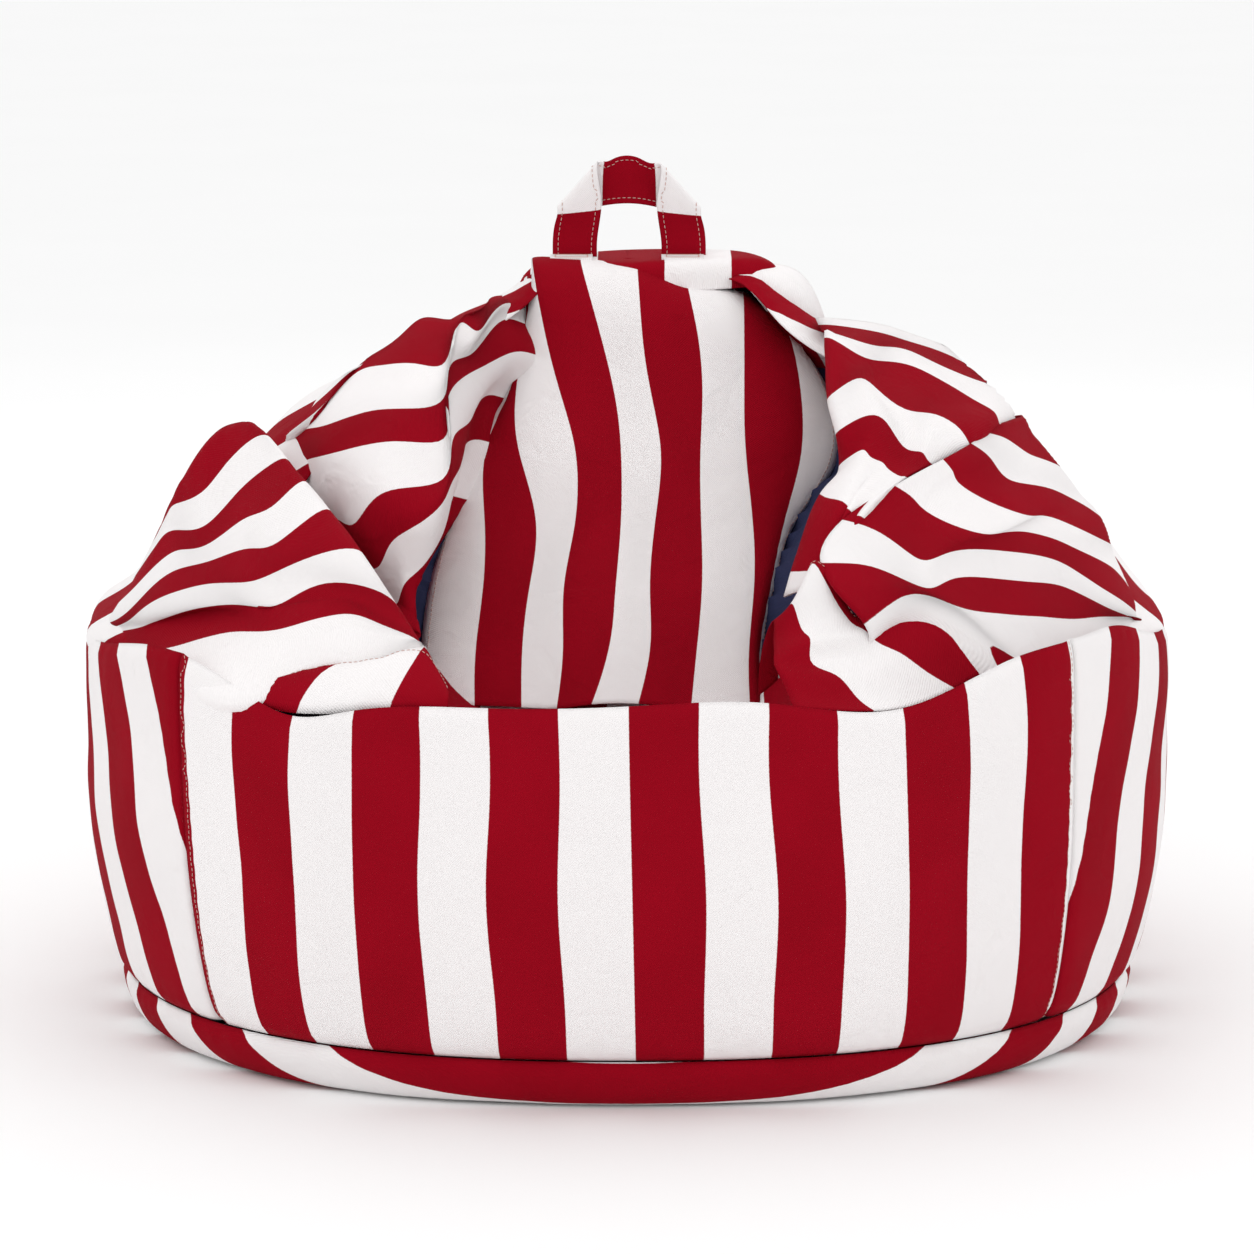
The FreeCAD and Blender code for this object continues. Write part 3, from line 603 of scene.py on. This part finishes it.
def grid_mesh(name, points, across, along, outwards):
    """A mesh of four-sided faces that carries its places on the roll of cloth."""
    rows, columns = points.shape[:2]
    index = np.arange(rows * columns).reshape(rows, columns)
    corners = [index[:-1, :-1], index[:-1, 1:], index[1:, 1:], index[1:, :-1]]
    if not outwards:
        corners.reverse()
    faces = np.stack(corners, axis=-1).reshape(-1, 4)
    mesh = bpy.data.meshes.new(name)
    mesh.from_pydata(points.reshape(-1, 3).tolist(), [], faces.tolist())
    flat = np.stack((across, along), axis=-1).reshape(-1, 2)
    layer = mesh.uv_layers.new(name="cloth")
    layer.data.foreach_set("uv", flat[faces.reshape(-1)].reshape(-1).astype(np.float32))
    piece = bpy.data.objects.new(name, mesh)
    bpy.context.scene.collection.objects.link(piece)
    return piece


def alone(piece):
    """Select this piece and nothing else."""
    bpy.ops.object.select_all(action="DESELECT")
    piece.select_set(True)
    bpy.context.view_layer.objects.active = piece


def thickened(piece, thickness):
    """Give the cloth its thickness, inwards from the face that is seen."""
    alone(piece)
    bpy.ops.object.modifier_add(type="SOLIDIFY")
    solid = piece.modifiers[-1]
    solid.thickness = thickness
    solid.offset = -1
    bpy.ops.object.modifier_apply(modifier=solid.name)
    bpy.ops.object.shade_smooth()


def cloth_sheet(name, points, across, along, nodes, seams=("left", "right", "top", "bottom"),
                seed=0.0, wrinkle=1.0):
    """One sewn panel: tailored, given its thickness and the striped cloth, and hung on the bag.

    The flat size and area are measured on the finished panel, with 2 percent added to
    the area. They are not the sizes of a cut worked out beforehand.
    """
    normal = normals_of(points)
    outwards = bool(facing_out(points, normal))
    points = tailor(points, seams, seed, wrinkle)
    piece = grid_mesh(name, points, across, along, outwards)
    piece.data.materials.append(bpy.data.materials["striped_twill"])
    thickened(piece, settings().cloth)
    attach(piece, BAG)
    if nodes:
        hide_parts(*nodes)
    sewn[name] = (points, normals_of(points) * (1 if outwards else -1))
    return piece


def hemmed(net, first=None, last=None):
    """Carry each row on past its first or last point, by steps of (x, y, z), out of sight."""
    rows = []
    for row in net:
        before, after = [], []
        for step in first or ():
            x, y, z, across = row[0]
            before.insert(0, (x + step[0], y + step[1], z + step[2], across))
        for step in last or ():
            x, y, z, across = row[-1]
            after.append((x + step[0], y + step[1], z + step[2], across))
        rows.append(before + list(row) + after)
    return rows


def under_dome(points):
    """Sink the far side of a panel below the back of the dome, where it is sewn down."""
    height = np.clip(points[..., 2].ravel() / MM, DOME[0][0], DOME[-1][0])
    table = (read_table(DOME, height) * MM).reshape(points.shape[:2] + (4,))
    width = np.where(points[..., 0] < 0, table[..., 0], table[..., 1])
    centre, depth = table[..., 2], table[..., 3]
    side, rear = points[..., 0] / width, (points[..., 1] - centre) / depth
    reach = np.maximum(np.hypot(side, rear), 1e-6)
    sunk = np.clip((points[..., 1] - centre - depth * math.cos(DOME_EDGE) - 0.006) / 0.055, 0, 1)
    sunk = sunk * sunk * (3 - 2 * sunk)
    scale = 1 - sunk + sunk * np.minimum(1, 0.968 / reach)
    x = points[..., 0] * scale
    y = centre + (points[..., 1] - centre) * scale
    return np.stack((x, y, points[..., 2]), axis=-1)


def panel(name, net, nodes, along="u", tucked=False, **keywords):
    """One sewn panel draped through a net of points."""
    points, across = draped(net, settings().cell)
    if tucked:
        points = under_dome(points)
    length = run_of(points, 1 if along == "u" else 0)
    return cloth_sheet(name, points, across, length, nodes, **keywords)


RIM_POWER = 2.3
HALF_WIDTH, FRONT_DEPTH, BACK_DEPTH = 0.476, 0.440, 0.449
SKIRT_TOP = 0.043
ZIP_PLANE, ZIP_HALF_GAP, ZIP_LOW, ZIP_HIGH = 0.4517, 0.0075, 0.070, 0.344


def superellipse(angle, width, depth):
    """A rounded square of half width and half depth; angle 0 faces the front, -Y."""
    power = 2 / RIM_POWER
    x = np.sign(np.sin(angle)) * np.abs(np.sin(angle)) ** power * width
    y = -np.sign(np.cos(angle)) * np.abs(np.cos(angle)) ** power * depth
    return x, y


RIM_ANGLES = np.linspace(0, math.pi, 1500)
RIM_X, RIM_Y = superellipse(RIM_ANGLES, HALF_WIDTH, FRONT_DEPTH)
RIM_RUN = np.concatenate(([0], np.cumsum(np.hypot(np.diff(RIM_X), np.diff(RIM_Y)))))


def rim_angle(run):
    """The direction of the place this far round the rim from the front, + towards +X."""
    return np.sign(run) * np.interp(np.abs(run), RIM_RUN, RIM_ANGLES)


def wall_panel(top_angles, bottom_angles, rows):
    """The upright wall between two lists of directions, from the rim down to the skirt."""
    drop = np.linspace(0, 1, rows)
    draw = read_table(WALL_DRAW_IN, drop)[:, 0] * MM
    ease = drop ** 1.25
    angle = top_angles[None, :] * (1 - ease[:, None]) + bottom_angles[None, :] * ease[:, None]
    front = np.cos(angle) > 0
    depth = np.where(front, FRONT_DEPTH, BACK_DEPTH) - draw[:, None]
    x, y = superellipse(angle, HALF_WIDTH - draw[:, None], 1.0)
    y = y * depth
    x_rim, y_rim = superellipse(top_angles, HALF_WIDTH, FRONT_DEPTH)
    bearing = np.degrees(np.arctan2(x_rim, -y_rim))
    top = read_table(RIM_HEIGHTS, bearing)[:, 0] * MM
    z = top[None, :] * (1 - drop[:, None]) + SKIRT_TOP * drop[:, None]
    return np.stack((x, y, z), axis=-1), drop


def settle_on_zip(points):
    """The zip holds the middle of the back wall flat against its tapes."""
    x, y, z = points[..., 0], points[..., 1], points[..., 2]
    near = np.clip(1 - (np.abs(x) - 0.024) / 0.085, 0, 1)
    near = near * near * (3 - 2 * near)
    high = np.clip((z - 0.052) / 0.032, 0, 1)
    held = near * high * high * (3 - 2 * high)
    points[..., 1] = y * (1 - held) + ZIP_PLANE * held
    return points


class BEANBAG_OT_walls(bpy.types.Operator):
    """Sew the five upright wall panels, from the rim down to the skirt seam"""

    bl_idname = "beanbag.walls"
    bl_label = "Walls"

    def execute(self, context):
        cell = settings().cell
        rows = int(0.31 / cell)
        left, right, corner = -0.410, 0.408, math.radians(135)
        run = np.linspace(left, right, int((right - left) / cell))
        bottom_x = 0.006 + run * (1 - 0.10 * (run / 0.342) ** 2)
        bottom = np.arcsin(np.clip(np.sign(bottom_x) * np.abs(bottom_x / 0.450) ** 1.15, -1, 1))
        points, drop = wall_panel(rim_angle(run), bottom, rows)
        sway = 0.0022 * np.sin(drop * 9.0)[:, None] * np.sin(run * 14.0)[None, :]
        across = np.broadcast_to(run - 0.0015, points.shape[:2]) + sway
        cloth_sheet("front_wall", points, across, run_of(points, 0), ["front_wall_panel"], seed=1.3,
                    wrinkle=0.8)
        for side, start, first, begin, seed in (("left", left, bottom[0], 0.012, 5.1),
                                                ("right", right, bottom[-1], 0.057, 8.7)):
            sign = math.copysign(1, start)
            end = np.interp(corner, RIM_ANGLES, RIM_RUN)
            run = np.linspace(abs(start), end, int((end - abs(start)) / cell))
            low = abs(first) + (corner - abs(first)) * np.linspace(0, 1, len(run)) ** 0.92
            points, drop = wall_panel(sign * rim_angle(run), sign * low, rows)
            wave = 0.005 * np.sin(drop * 12.0 + seed)[:, None] * np.clip(
                (run - abs(start)) / 0.05, 0, 1)[None, :]
            across = (run - abs(start))[None, :] + begin + 0.080 * drop[:, None] ** 0.9 + wave
            cloth_sheet(side + "_wall", points, across, run_of(points, 0), [side + "_wall_panel"],
                        seed=seed)
            half = RIM_RUN[-1]
            run = np.linspace(end, half, int((half - end) / cell))
            back = np.interp(run, RIM_RUN, RIM_ANGLES)
            points, drop = wall_panel(sign * back, sign * back, rows)
            z = points[..., 2]
            slot = np.clip((z - ZIP_LOW) / 0.006, 0, 1) * np.clip((ZIP_HIGH - z) / 0.006, 0, 1)
            across_from = sign * points[..., 0]
            points[..., 0] = sign * np.maximum(across_from, ZIP_HALF_GAP * slot)
            points = settle_on_zip(points)
            cloth_sheet("rear_%s_wall" % side, points, sign * points[..., 0] * 1.04 + 0.0285,
                        run_of(points, 0), ["rear_%s_wall_panel" % side], seed=seed + 2)
        return {"FINISHED"}


class BEANBAG_OT_base(bpy.types.Operator):
    """Sew the round base, turned up all round to meet the wall"""

    bl_idname = "beanbag.base"
    bl_label = "Base"

    def execute(self, context):
        cell = settings().cell
        angles = np.linspace(-math.pi, math.pi, int(2 * math.pi * 0.43 / cell))
        skirt = np.array(SKIRT, float) * MM
        run = np.concatenate(([0], np.cumsum(np.hypot(np.diff(skirt[:, 0]), np.diff(skirt[:, 1])))))
        at = np.linspace(0, run[-1], int(run[-1] / 0.003))
        profile = spline(run, skirt, at)
        rings = []
        for height, draw in profile:
            depth = np.where(np.cos(angles) > 0, FRONT_DEPTH, BACK_DEPTH) - draw
            x, y = superellipse(angles, HALF_WIDTH - draw, 1.0)
            rings.append(np.stack((x, y * depth, np.full_like(x, height)), axis=-1))
        edge = rings[-1]
        for scale in np.linspace(0.97, 0.02, 60):
            ring = edge * scale
            ring[:, 2] = 0.0016
            rings.append(ring)
        points = np.array(rings)
        bearing = np.arctan2(points[..., 0], -points[..., 1])
        reach = np.hypot(points[..., 0], points[..., 1]) + 1.12 * np.clip(points[..., 2] - 0.0016, 0, 1)
        across = -reach * np.cos(bearing)
        along = reach * np.sin(bearing)
        points = tailor(points, ("top",), 3.3, 0.25)
        points[..., 2] = np.maximum(points[..., 2], 0.0013)
        piece = grid_mesh("base", points, across + 0.003, along, facing_out(points, normals_of(points)))
        shell = bmesh.new()
        shell.from_mesh(piece.data)
        bmesh.ops.remove_doubles(shell, verts=shell.verts, dist=0.0002)
        hole = [e for e in shell.edges if e.is_boundary and max(v.co.z for v in e.verts) < 0.004]
        bmesh.ops.holes_fill(shell, edges=hole)
        shell.to_mesh(piece.data)
        shell.free()
        piece.data.materials.append(bpy.data.materials["striped_twill"])
        thickened(piece, settings().cloth)
        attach(piece, BAG)
        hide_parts("base_panel")
        return {"FINISHED"}


class BEANBAG_OT_arms(bpy.types.Operator):
    """Sew the two puffed arms and the lips that join them to the front wall"""

    bl_idname = "beanbag.arms"
    bl_label = "Arms and lips"

    def execute(self, context):
        side = [(-2, 60, -12), (8, 130, -25)]
        ridge = [(6, 22, -30), (4, 40, -80)]
        panel("left_arm", sewn_to_rim(hemmed(LEFT_ARM, side, ridge)), ["left_arm_panel"],
              seed=11.0, tucked=True, seams=("bottom", "top"))
        side = [(2, 60, -12), (-8, 130, -25)]
        panel("right_arm", sewn_to_rim(hemmed(RIGHT_ARM, side)), ["right_arm_panel"], seed=14.0, tucked=True,
              seams=("bottom", "top"))
        panel("left_lip", LEFT_LIP, [], along="v", seed=17.0, wrinkle=0.5, seams=("top", "bottom"))
        tuck = [(-8, 20, -30), (-10, 35, -70)]
        panel("right_lip", hemmed(RIGHT_LIP, None, tuck), [], seed=19.0, wrinkle=0.6, seams=("top",))
        return {"FINISHED"}


class BEANBAG_OT_back(bpy.types.Operator):
    """Sew the backrest, both shoulders, the fold at the crown and the seat"""

    bl_idname = "beanbag.back"
    bl_label = "Backrest, shoulders and seat"

    def execute(self, context):
        panel("backrest", hemmed_rows(BACKREST, [(0, 40, 2)]), ["backrest_panel"], along="v", seed=23.0,
              seams=("left", "right"))
        under_arm, over_top = [(-25, 25, -25), (-50, 60, -60)], [(12, 14, -5), (26, 34, -12)]
        panel("left_shoulder", hemmed(LEFT_SHOULDER, under_arm, over_top), ["left_shoulder_panel"],
              seed=27.0, tucked=True, seams=("right",))
        panel("right_shoulder", hemmed(RIGHT_SHOULDER, None, [(10, 30, -12)]),
              ["right_shoulder_panel"], seed=31.0, tucked=True, seams=("right",))
        panel("crown_fold", CROWN_FOLD, [], seed=33.0, wrinkle=0.3, seams=())
        panel("seat", SEAT, ["seat_panel"], along="v", seed=37.0, seams=("top",))
        return {"FINISHED"}


def sewn_to_rim(net):
    """Give an arm one more row, tucked inside the rim of the wall."""
    row = []
    wide, deep = round(HALF_WIDTH / MM), round(FRONT_DEPTH / MM)
    for x, y, z, across in net[0]:
        spread = ((abs(x) / wide) ** RIM_POWER + (abs(y) / deep) ** RIM_POWER) ** (1 / RIM_POWER)
        out = min(max((abs(x) - 240) / 60, 0), 1)
        reach = 1 + (0.975 / spread - 1) * out
        row.append((x * reach, y * reach + 10 * (1 - out), z - 30 - max(z - 350, 0) * out, across))
    return [row] + list(net)


def hemmed_rows(net, steps):
    """Carry the first row on over the top, by steps of (x, y, z)."""
    rows = list(net)
    for step in steps:
        rows.insert(0, [(x + step[0], y + step[1], z + step[2], across) for x, y, z, across in net[0]])
    return rows


def dome_panel(first, last, low, high, cell):
    """The back of the dome between two directions, in degrees from the back, + towards +X."""
    reach = math.radians(abs(last - first)) * 0.42
    turn = np.radians(np.linspace(first, last, max(12, int(reach / cell))))
    heights = np.linspace(low, high, 400)
    table = read_table(DOME, heights) * MM
    slope = np.concatenate(([0], np.cumsum(np.hypot(np.diff(heights) * MM, np.diff(table[:, 3])))))
    even = np.interp(np.linspace(0, slope[-1], max(12, int(slope[-1] / cell))), slope, heights)
    table = read_table(DOME, even) * MM
    width = np.where(turn[None, :] < 0, table[:, :1], table[:, 1:2])
    power = 1 - 0.14 * np.clip((450 - even[:, None]) / 100, 0, 1)
    sine, cosine = np.sin(turn)[None, :], np.cos(turn)[None, :]
    dive = 1 - 0.07 * np.clip((np.abs(turn)[None, :] - math.radians(101)) / math.radians(16), 0, 1) ** 1.5
    x = width * np.sign(sine) * np.abs(sine) ** power * dive
    y = table[:, 2:3] + table[:, 3:4] * np.sign(cosine) * np.abs(cosine) ** power * dive
    z = np.broadcast_to(even[:, None] * MM, x.shape)
    return np.stack((x, y, z), axis=-1), turn


class BEANBAG_OT_rear(bpy.types.Operator):
    """Sew the back of the dome and the crown that carries the handle"""

    bl_idname = "beanbag.rear"
    bl_label = "Back of the dome"

    def execute(self, context):
        cell = settings().cell
        for name, first, last, nodes, seed in (
                ("left_flank", -117, -48, [], 41.0), ("rear_top", -48, 48, ["rear_top_panel"], 43.0),
                ("right_flank", 48, 117, [], 47.0)):
            points, turn = dome_panel(first, last, 318, 634, cell)
            across = np.broadcast_to(0.36 * turn[None, :], points.shape[:2])
            rise = run_of(points, 0)
            across = across * (1 - 0.55 * rise / rise.max()) + 0.0285
            cloth_sheet(name, points, across, rise, nodes, seed=seed, wrinkle=1.5)
        angles = np.linspace(-math.pi, math.pi, 120)
        rings = []
        for scale, height in ((1.0, 0.614), (0.98, 0.625), (0.92, 0.634), (0.8, 0.6405), (0.6, 0.6425),
                              (0.4, 0.6428), (0.2, 0.6429), (0.03, 0.643)):
            width = np.where(np.sin(angles) < 0, 0.098, 0.140) * scale
            depth = np.where(np.cos(angles) > 0, 0.030, 0.110) * scale
            rings.append(np.stack((width * np.sin(angles), 0.112 - depth * np.cos(angles),
                                   height + 0.05 * scale * width * np.sin(angles)), axis=-1))
        rings = np.array(rings)
        points = spline(np.linspace(0, 1, len(rings)), rings, np.linspace(0, 1, 40))
        cloth_sheet("crown", points, (points[..., 0] + 0.026) * 0.95, points[..., 1], [], seams=(), seed=51.0,
                    wrinkle=0.5)
        return {"FINISHED"}


class BEANBAG_OT_inner_bag(bpy.types.Operator):
    """Blow the bead-filled inner bag up until it fills the cover, 12 mm short of it; its navy cloth shows
    through the gaps between the panels as painted shade in the creases
    """

    bl_idname = "beanbag.inner_bag"
    bl_label = "Inner bag"

    def execute(self, context):
        covers = [name for name in sewn if not name.startswith("handle")]
        verts, faces = [], []
        for name in covers:
            mesh = bpy.data.objects[name].data
            start = len(verts)
            verts += [v.co.copy() for v in mesh.vertices]
            faces += [[start + i for i in p.vertices] for p in mesh.polygons]
        cover = BVHTree.FromPolygons(verts, faces)
        core = Vector((0.0, 0.10, 0.16))
        bpy.ops.object.select_all(action="DESELECT")
        bpy.ops.mesh.primitive_ico_sphere_add(subdivisions=6, radius=1, location=core)
        piece = bpy.context.object
        piece.name = "inner_bag"
        bpy.ops.object.transform_apply(location=True, rotation=True, scale=True)
        mesh = piece.data
        reach = np.zeros(len(mesh.vertices))
        ways = [(v.co - core).normalized() for v in mesh.vertices]
        for i, way in enumerate(ways):
            hit = cover.ray_cast(core, way, 2.0)
            reach[i] = hit[3] if hit[0] is not None else 0.2
            if way.z < 0:
                reach[i] = min(reach[i], (core.z - 0.004) / -way.z)
        pairs = np.array([e.vertices[:] for e in mesh.edges])
        limit = reach - 0.012
        reach = limit.copy()
        for _ in range(30):
            total, count = np.zeros_like(reach), np.zeros_like(reach)
            for a, b in ((0, 1), (1, 0)):
                np.add.at(total, pairs[:, a], reach[pairs[:, b]])
                np.add.at(count, pairs[:, a], 1)
            reach = np.minimum(0.5 * reach + 0.5 * total / count, limit)
        for vertex, way, far in zip(mesh.vertices, ways, reach):
            vertex.co = core + way * float(far)
        alone(piece)
        bpy.ops.object.shade_smooth()
        # Navy that shows between the panels as painted shade in the creases.
        mesh.materials.append(bpy.data.materials["navy_lining"])
        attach(piece, BAG)
        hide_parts("inner_liner", "bead_fill")
        return {"FINISHED"}


def strap_route(share):
    """The strap's middle line at one place across its width, 0 outer edge, 1 inner edge."""
    width = settings().strap_width
    outer = -0.066 + width * share
    fold = (-0.062 + 0.036 * share, 0.6885 + 0.040 * share)
    half = [(outer - 0.001, 0.1265, 0.6430), (outer - 0.001, 0.1262, 0.6560),
            (outer + 0.001 + 0.002 * share, 0.1250, (0.6560 + fold[1]) / 2),
            (fold[0] - 0.0006, 0.1236, fold[1] - 0.006),
            (fold[0] + 0.0004, 0.1252, fold[1] + 0.0004),
            (fold[0] + 0.0065, 0.1290, fold[1] - 0.0004)]
    apex = [(-0.012, 0.1302, 0.6900 + 0.0410 * share), (0.012, 0.1302, 0.6900 + 0.0410 * share)]
    lean = 0.004
    other = [(lean - x, y, z - 0.0015) for x, y, z in reversed(half)]
    return np.array(half + apex + other)


class BEANBAG_OT_handle(bpy.types.Operator):
    """Fold the carry handle's strap over the crown and sew down its two feet"""

    bl_idname = "beanbag.handle"
    bl_label = "Carry handle"

    def execute(self, context):
        shares = np.linspace(0, 1, 25)
        lines = []
        for share in shares:
            route = strap_route(share)
            run = np.concatenate(([0], np.cumsum(np.linalg.norm(np.diff(route, axis=0), axis=1))))
            lines.append(spline(run / run[-1], route, np.linspace(0, 1, 180)))
        points = np.array(lines)
        run = run_of(points, 1)
        middle = run[:, -1:] / 2
        across = np.abs(run - middle) * 1.15 + 0.0285
        along = np.broadcast_to((shares * settings().strap_width)[:, None], across.shape)
        piece = grid_mesh("handle_strap", points, across, along, False)
        piece.data.materials.append(bpy.data.materials["strap_twill"])
        alone(piece)
        bpy.ops.object.modifier_add(type="SOLIDIFY")
        piece.modifiers[-1].thickness = 0.0022
        piece.modifiers[-1].offset = 0
        bpy.ops.object.modifier_apply(modifier=piece.modifiers[-1].name)
        bpy.ops.object.shade_smooth()
        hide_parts("handle_loop")
        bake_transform(piece)
        sewn["handle_strap"] = (points, normals_of(points))
        return {"FINISHED"}


# ------------------------------------------------------------------ stitches


def stitch_run(line, normals, lift):
    """Places and directions of the stitches along a line of points."""
    s = settings()
    run = np.concatenate(([0], np.cumsum(np.linalg.norm(np.diff(line, axis=0), axis=1))))
    at = np.arange(s.stitch_pitch / 2, run[-1] - s.stitch_pitch / 2, s.stitch_pitch)
    places = np.stack([np.interp(at, run, line[:, k]) for k in range(3)], axis=-1)
    ahead = np.stack([np.interp(at + 0.0005, run, line[:, k]) for k in range(3)], axis=-1)
    out = np.stack([np.interp(at, run, normals[:, k]) for k in range(3)], axis=-1)
    return places + out * lift, ahead - places, out


def line_on(name, edge, inset):
    """A line on a sewn panel, parallel to one edge and inset from it."""
    points, normals = sewn[name]
    if edge in ("left", "right"):
        run = run_of(points, 1)
        away = run if edge == "left" else run[:, -1:] - run
        pick = np.argmin(np.abs(away - inset), axis=1)
        rows = np.arange(points.shape[0])
        line, out = points[rows, pick], normals[rows, pick]
    else:
        run = run_of(points, 0)
        away = run if edge == "top" else run[-1:] - run
        pick = np.argmin(np.abs(away - inset), axis=0)
        columns = np.arange(points.shape[1])
        line, out = points[pick, columns], normals[pick, columns]
    return line, out


def stitches(name, lines, body, finish="cotton_thread"):
    """One object with a short rounded stitch at every place along the lines."""
    s = settings()
    bpy.ops.object.select_all(action="DESELECT")
    bpy.ops.mesh.primitive_uv_sphere_add(segments=6, ring_count=4, radius=0.00042)
    pattern = bpy.context.object
    shape = np.array([v.co[:] for v in pattern.data.vertices])
    shape[:, 2] += np.sign(shape[:, 2]) * (s.stitch / 2 - 0.00042)
    polygons = [tuple(p.vertices) for p in pattern.data.polygons]
    bpy.data.objects.remove(pattern)
    verts, faces = [], []
    for line, normals in lines:
        for place, way, out in zip(*stitch_run(line, normals, 0.0002)):
            way = way / max(np.linalg.norm(way), 1e-9)
            out = out / max(np.linalg.norm(out), 1e-9)
            side = np.cross(way, out)
            start = len(verts)
            verts += (place + shape[:, :1] * side + shape[:, 1:2] * out + shape[:, 2:] * way).tolist()
            faces += [tuple(start + i for i in p) for p in polygons]
    mesh = bpy.data.meshes.new(name)
    mesh.from_pydata(verts, [], faces)
    piece = bpy.data.objects.new(name, mesh)
    bpy.context.scene.collection.objects.link(piece)
    alone(piece)
    bpy.ops.object.mode_set(mode="EDIT")
    bpy.ops.mesh.select_all(action="SELECT")
    bpy.ops.mesh.normals_make_consistent(inside=False)
    bpy.ops.object.mode_set(mode="OBJECT")
    bpy.ops.object.shade_smooth()
    mesh.materials.append(bpy.data.materials[finish])
    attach(piece, body)
    return piece


class BEANBAG_OT_stitching(bpy.types.Operator):
    """Run the topstitching along the seams and along both edges of the handle"""

    bl_idname = "beanbag.stitching"
    bl_label = "Stitching"

    def execute(self, context):
        seam = 0.0075
        lines = [line_on("front_wall", "left", seam), line_on("front_wall", "right", seam),
                 line_on("left_lip", "bottom", seam), line_on("right_lip", "top", seam),
                 line_on("backrest", "left", seam), line_on("backrest", "right", seam),
                 line_on("rear_left_wall", "right", 0.006), line_on("rear_right_wall", "right", 0.006)]
        stitches("seam_stitching", lines, BAG)
        edge = 0.0045
        rows = [line_on("handle_strap", "top", edge), line_on("handle_strap", "bottom", edge)]
        both = [(line + out * 0.0011, out) for line, out in rows]
        both += [(line - out * 0.0011, -out) for line, out in rows]
        stitches("handle_stitching", both, HANDLE)
        return {"FINISHED"}


class BEANBAG_OT_stage(bpy.types.Operator):
    """Lay the pale floor, hang the soft lights and set up the camera"""

    bl_idname = "beanbag.stage"
    bl_label = "Stage"

    def execute(self, context):
        scene = context.scene
        bpy.ops.object.select_all(action="DESELECT")
        bpy.ops.mesh.primitive_plane_add(size=30, location=(0, 0, 0))
        floor = context.object
        floor.name = "floor"
        material, tree, shader = new_material("pale_floor")
        tint = mixed(tree, noise_node(tree, object_place(tree), 2.0), (0.93, 0.93, 0.93), (0.95, 0.95, 0.95))
        tree.links.new(tint, shader.inputs["Base Color"])
        shader.inputs["Roughness"].default_value = 0.9
        floor.data.materials.append(material)
        scene.view_settings.view_transform = "Standard"
        world = scene.world or bpy.data.worlds.new("studio")
        scene.world = world
        world.use_nodes = True
        sky = world.node_tree
        around = sky.nodes["Background"]
        around.inputs["Strength"].default_value = 1.0
        around.inputs["Color"].default_value = (1, 1, 1, 1)
        for name, place, size, power in (
                ("key", (-1.6, -2.6, 3.0), 2.4, 14), ("fill", (2.6, -2.2, 2.0), 2.6, 7),
                ("top", (0.0, 0.6, 3.2), 2.4, 6), ("rim", (0.4, 3.0, 2.2), 2.4, 8)):
            lamp = bpy.data.lights.new(name, "AREA")
            lamp.shape = "DISK"
            lamp.size = size
            lamp.energy = power
            holder = bpy.data.objects.new(name, lamp)
            holder.location = place
            aim = Vector((0, 0, 0.3)) - Vector(place)
            holder.rotation_euler = aim.to_track_quat("-Z", "Y").to_euler()
            scene.collection.objects.link(holder)
        view = bpy.data.cameras.new("camera")
        view.sensor_width = 36
        view.lens = 145.2
        view.clip_end = 60
        holder = bpy.data.objects.new("camera", view)
        rise, away, aim = math.radians(11), 4.5, Vector((0, 0, 0.327))
        holder.location = aim + Vector((0, -away * math.cos(rise), away * math.sin(rise)))
        holder.rotation_euler = (aim - holder.location).to_track_quat("-Z", "Y").to_euler()
        scene.collection.objects.link(holder)
        scene.camera = holder
        return {"FINISHED"}


STEPS = (BEANBAG_OT_finishes, BEANBAG_OT_stage, BEANBAG_OT_base, BEANBAG_OT_walls, BEANBAG_OT_arms,
         BEANBAG_OT_back, BEANBAG_OT_rear, BEANBAG_OT_inner_bag, BEANBAG_OT_handle,
         BEANBAG_OT_stitching)


class BEANBAG_PT_panel(bpy.types.Panel):
    bl_idname = "BEANBAG_PT_panel"
    bl_label = "Bean bag"
    bl_space_type = "VIEW_3D"
    bl_region_type = "UI"
    bl_category = "Bean bag"

    def draw(self, context):
        for key in BeanBagSettings.__annotations__:
            self.layout.prop(context.scene.bean_bag, key)
        for step in STEPS:
            self.layout.operator(step.bl_idname)


CLASSES = (BeanBagSettings, *STEPS, BEANBAG_PT_panel)


def register():
    for each in CLASSES:
        bpy.utils.register_class(each)
    bpy.types.Scene.bean_bag = bpy.props.PointerProperty(type=BeanBagSettings)


def unregister():
    del bpy.types.Scene.bean_bag
    for each in reversed(CLASSES):
        bpy.utils.unregister_class(each)


def main():
    register()
    for step in STEPS:
        group, name = step.bl_idname.split(".")
        getattr(getattr(bpy.ops, group), name)()


if __name__ == "__main__":
    main()
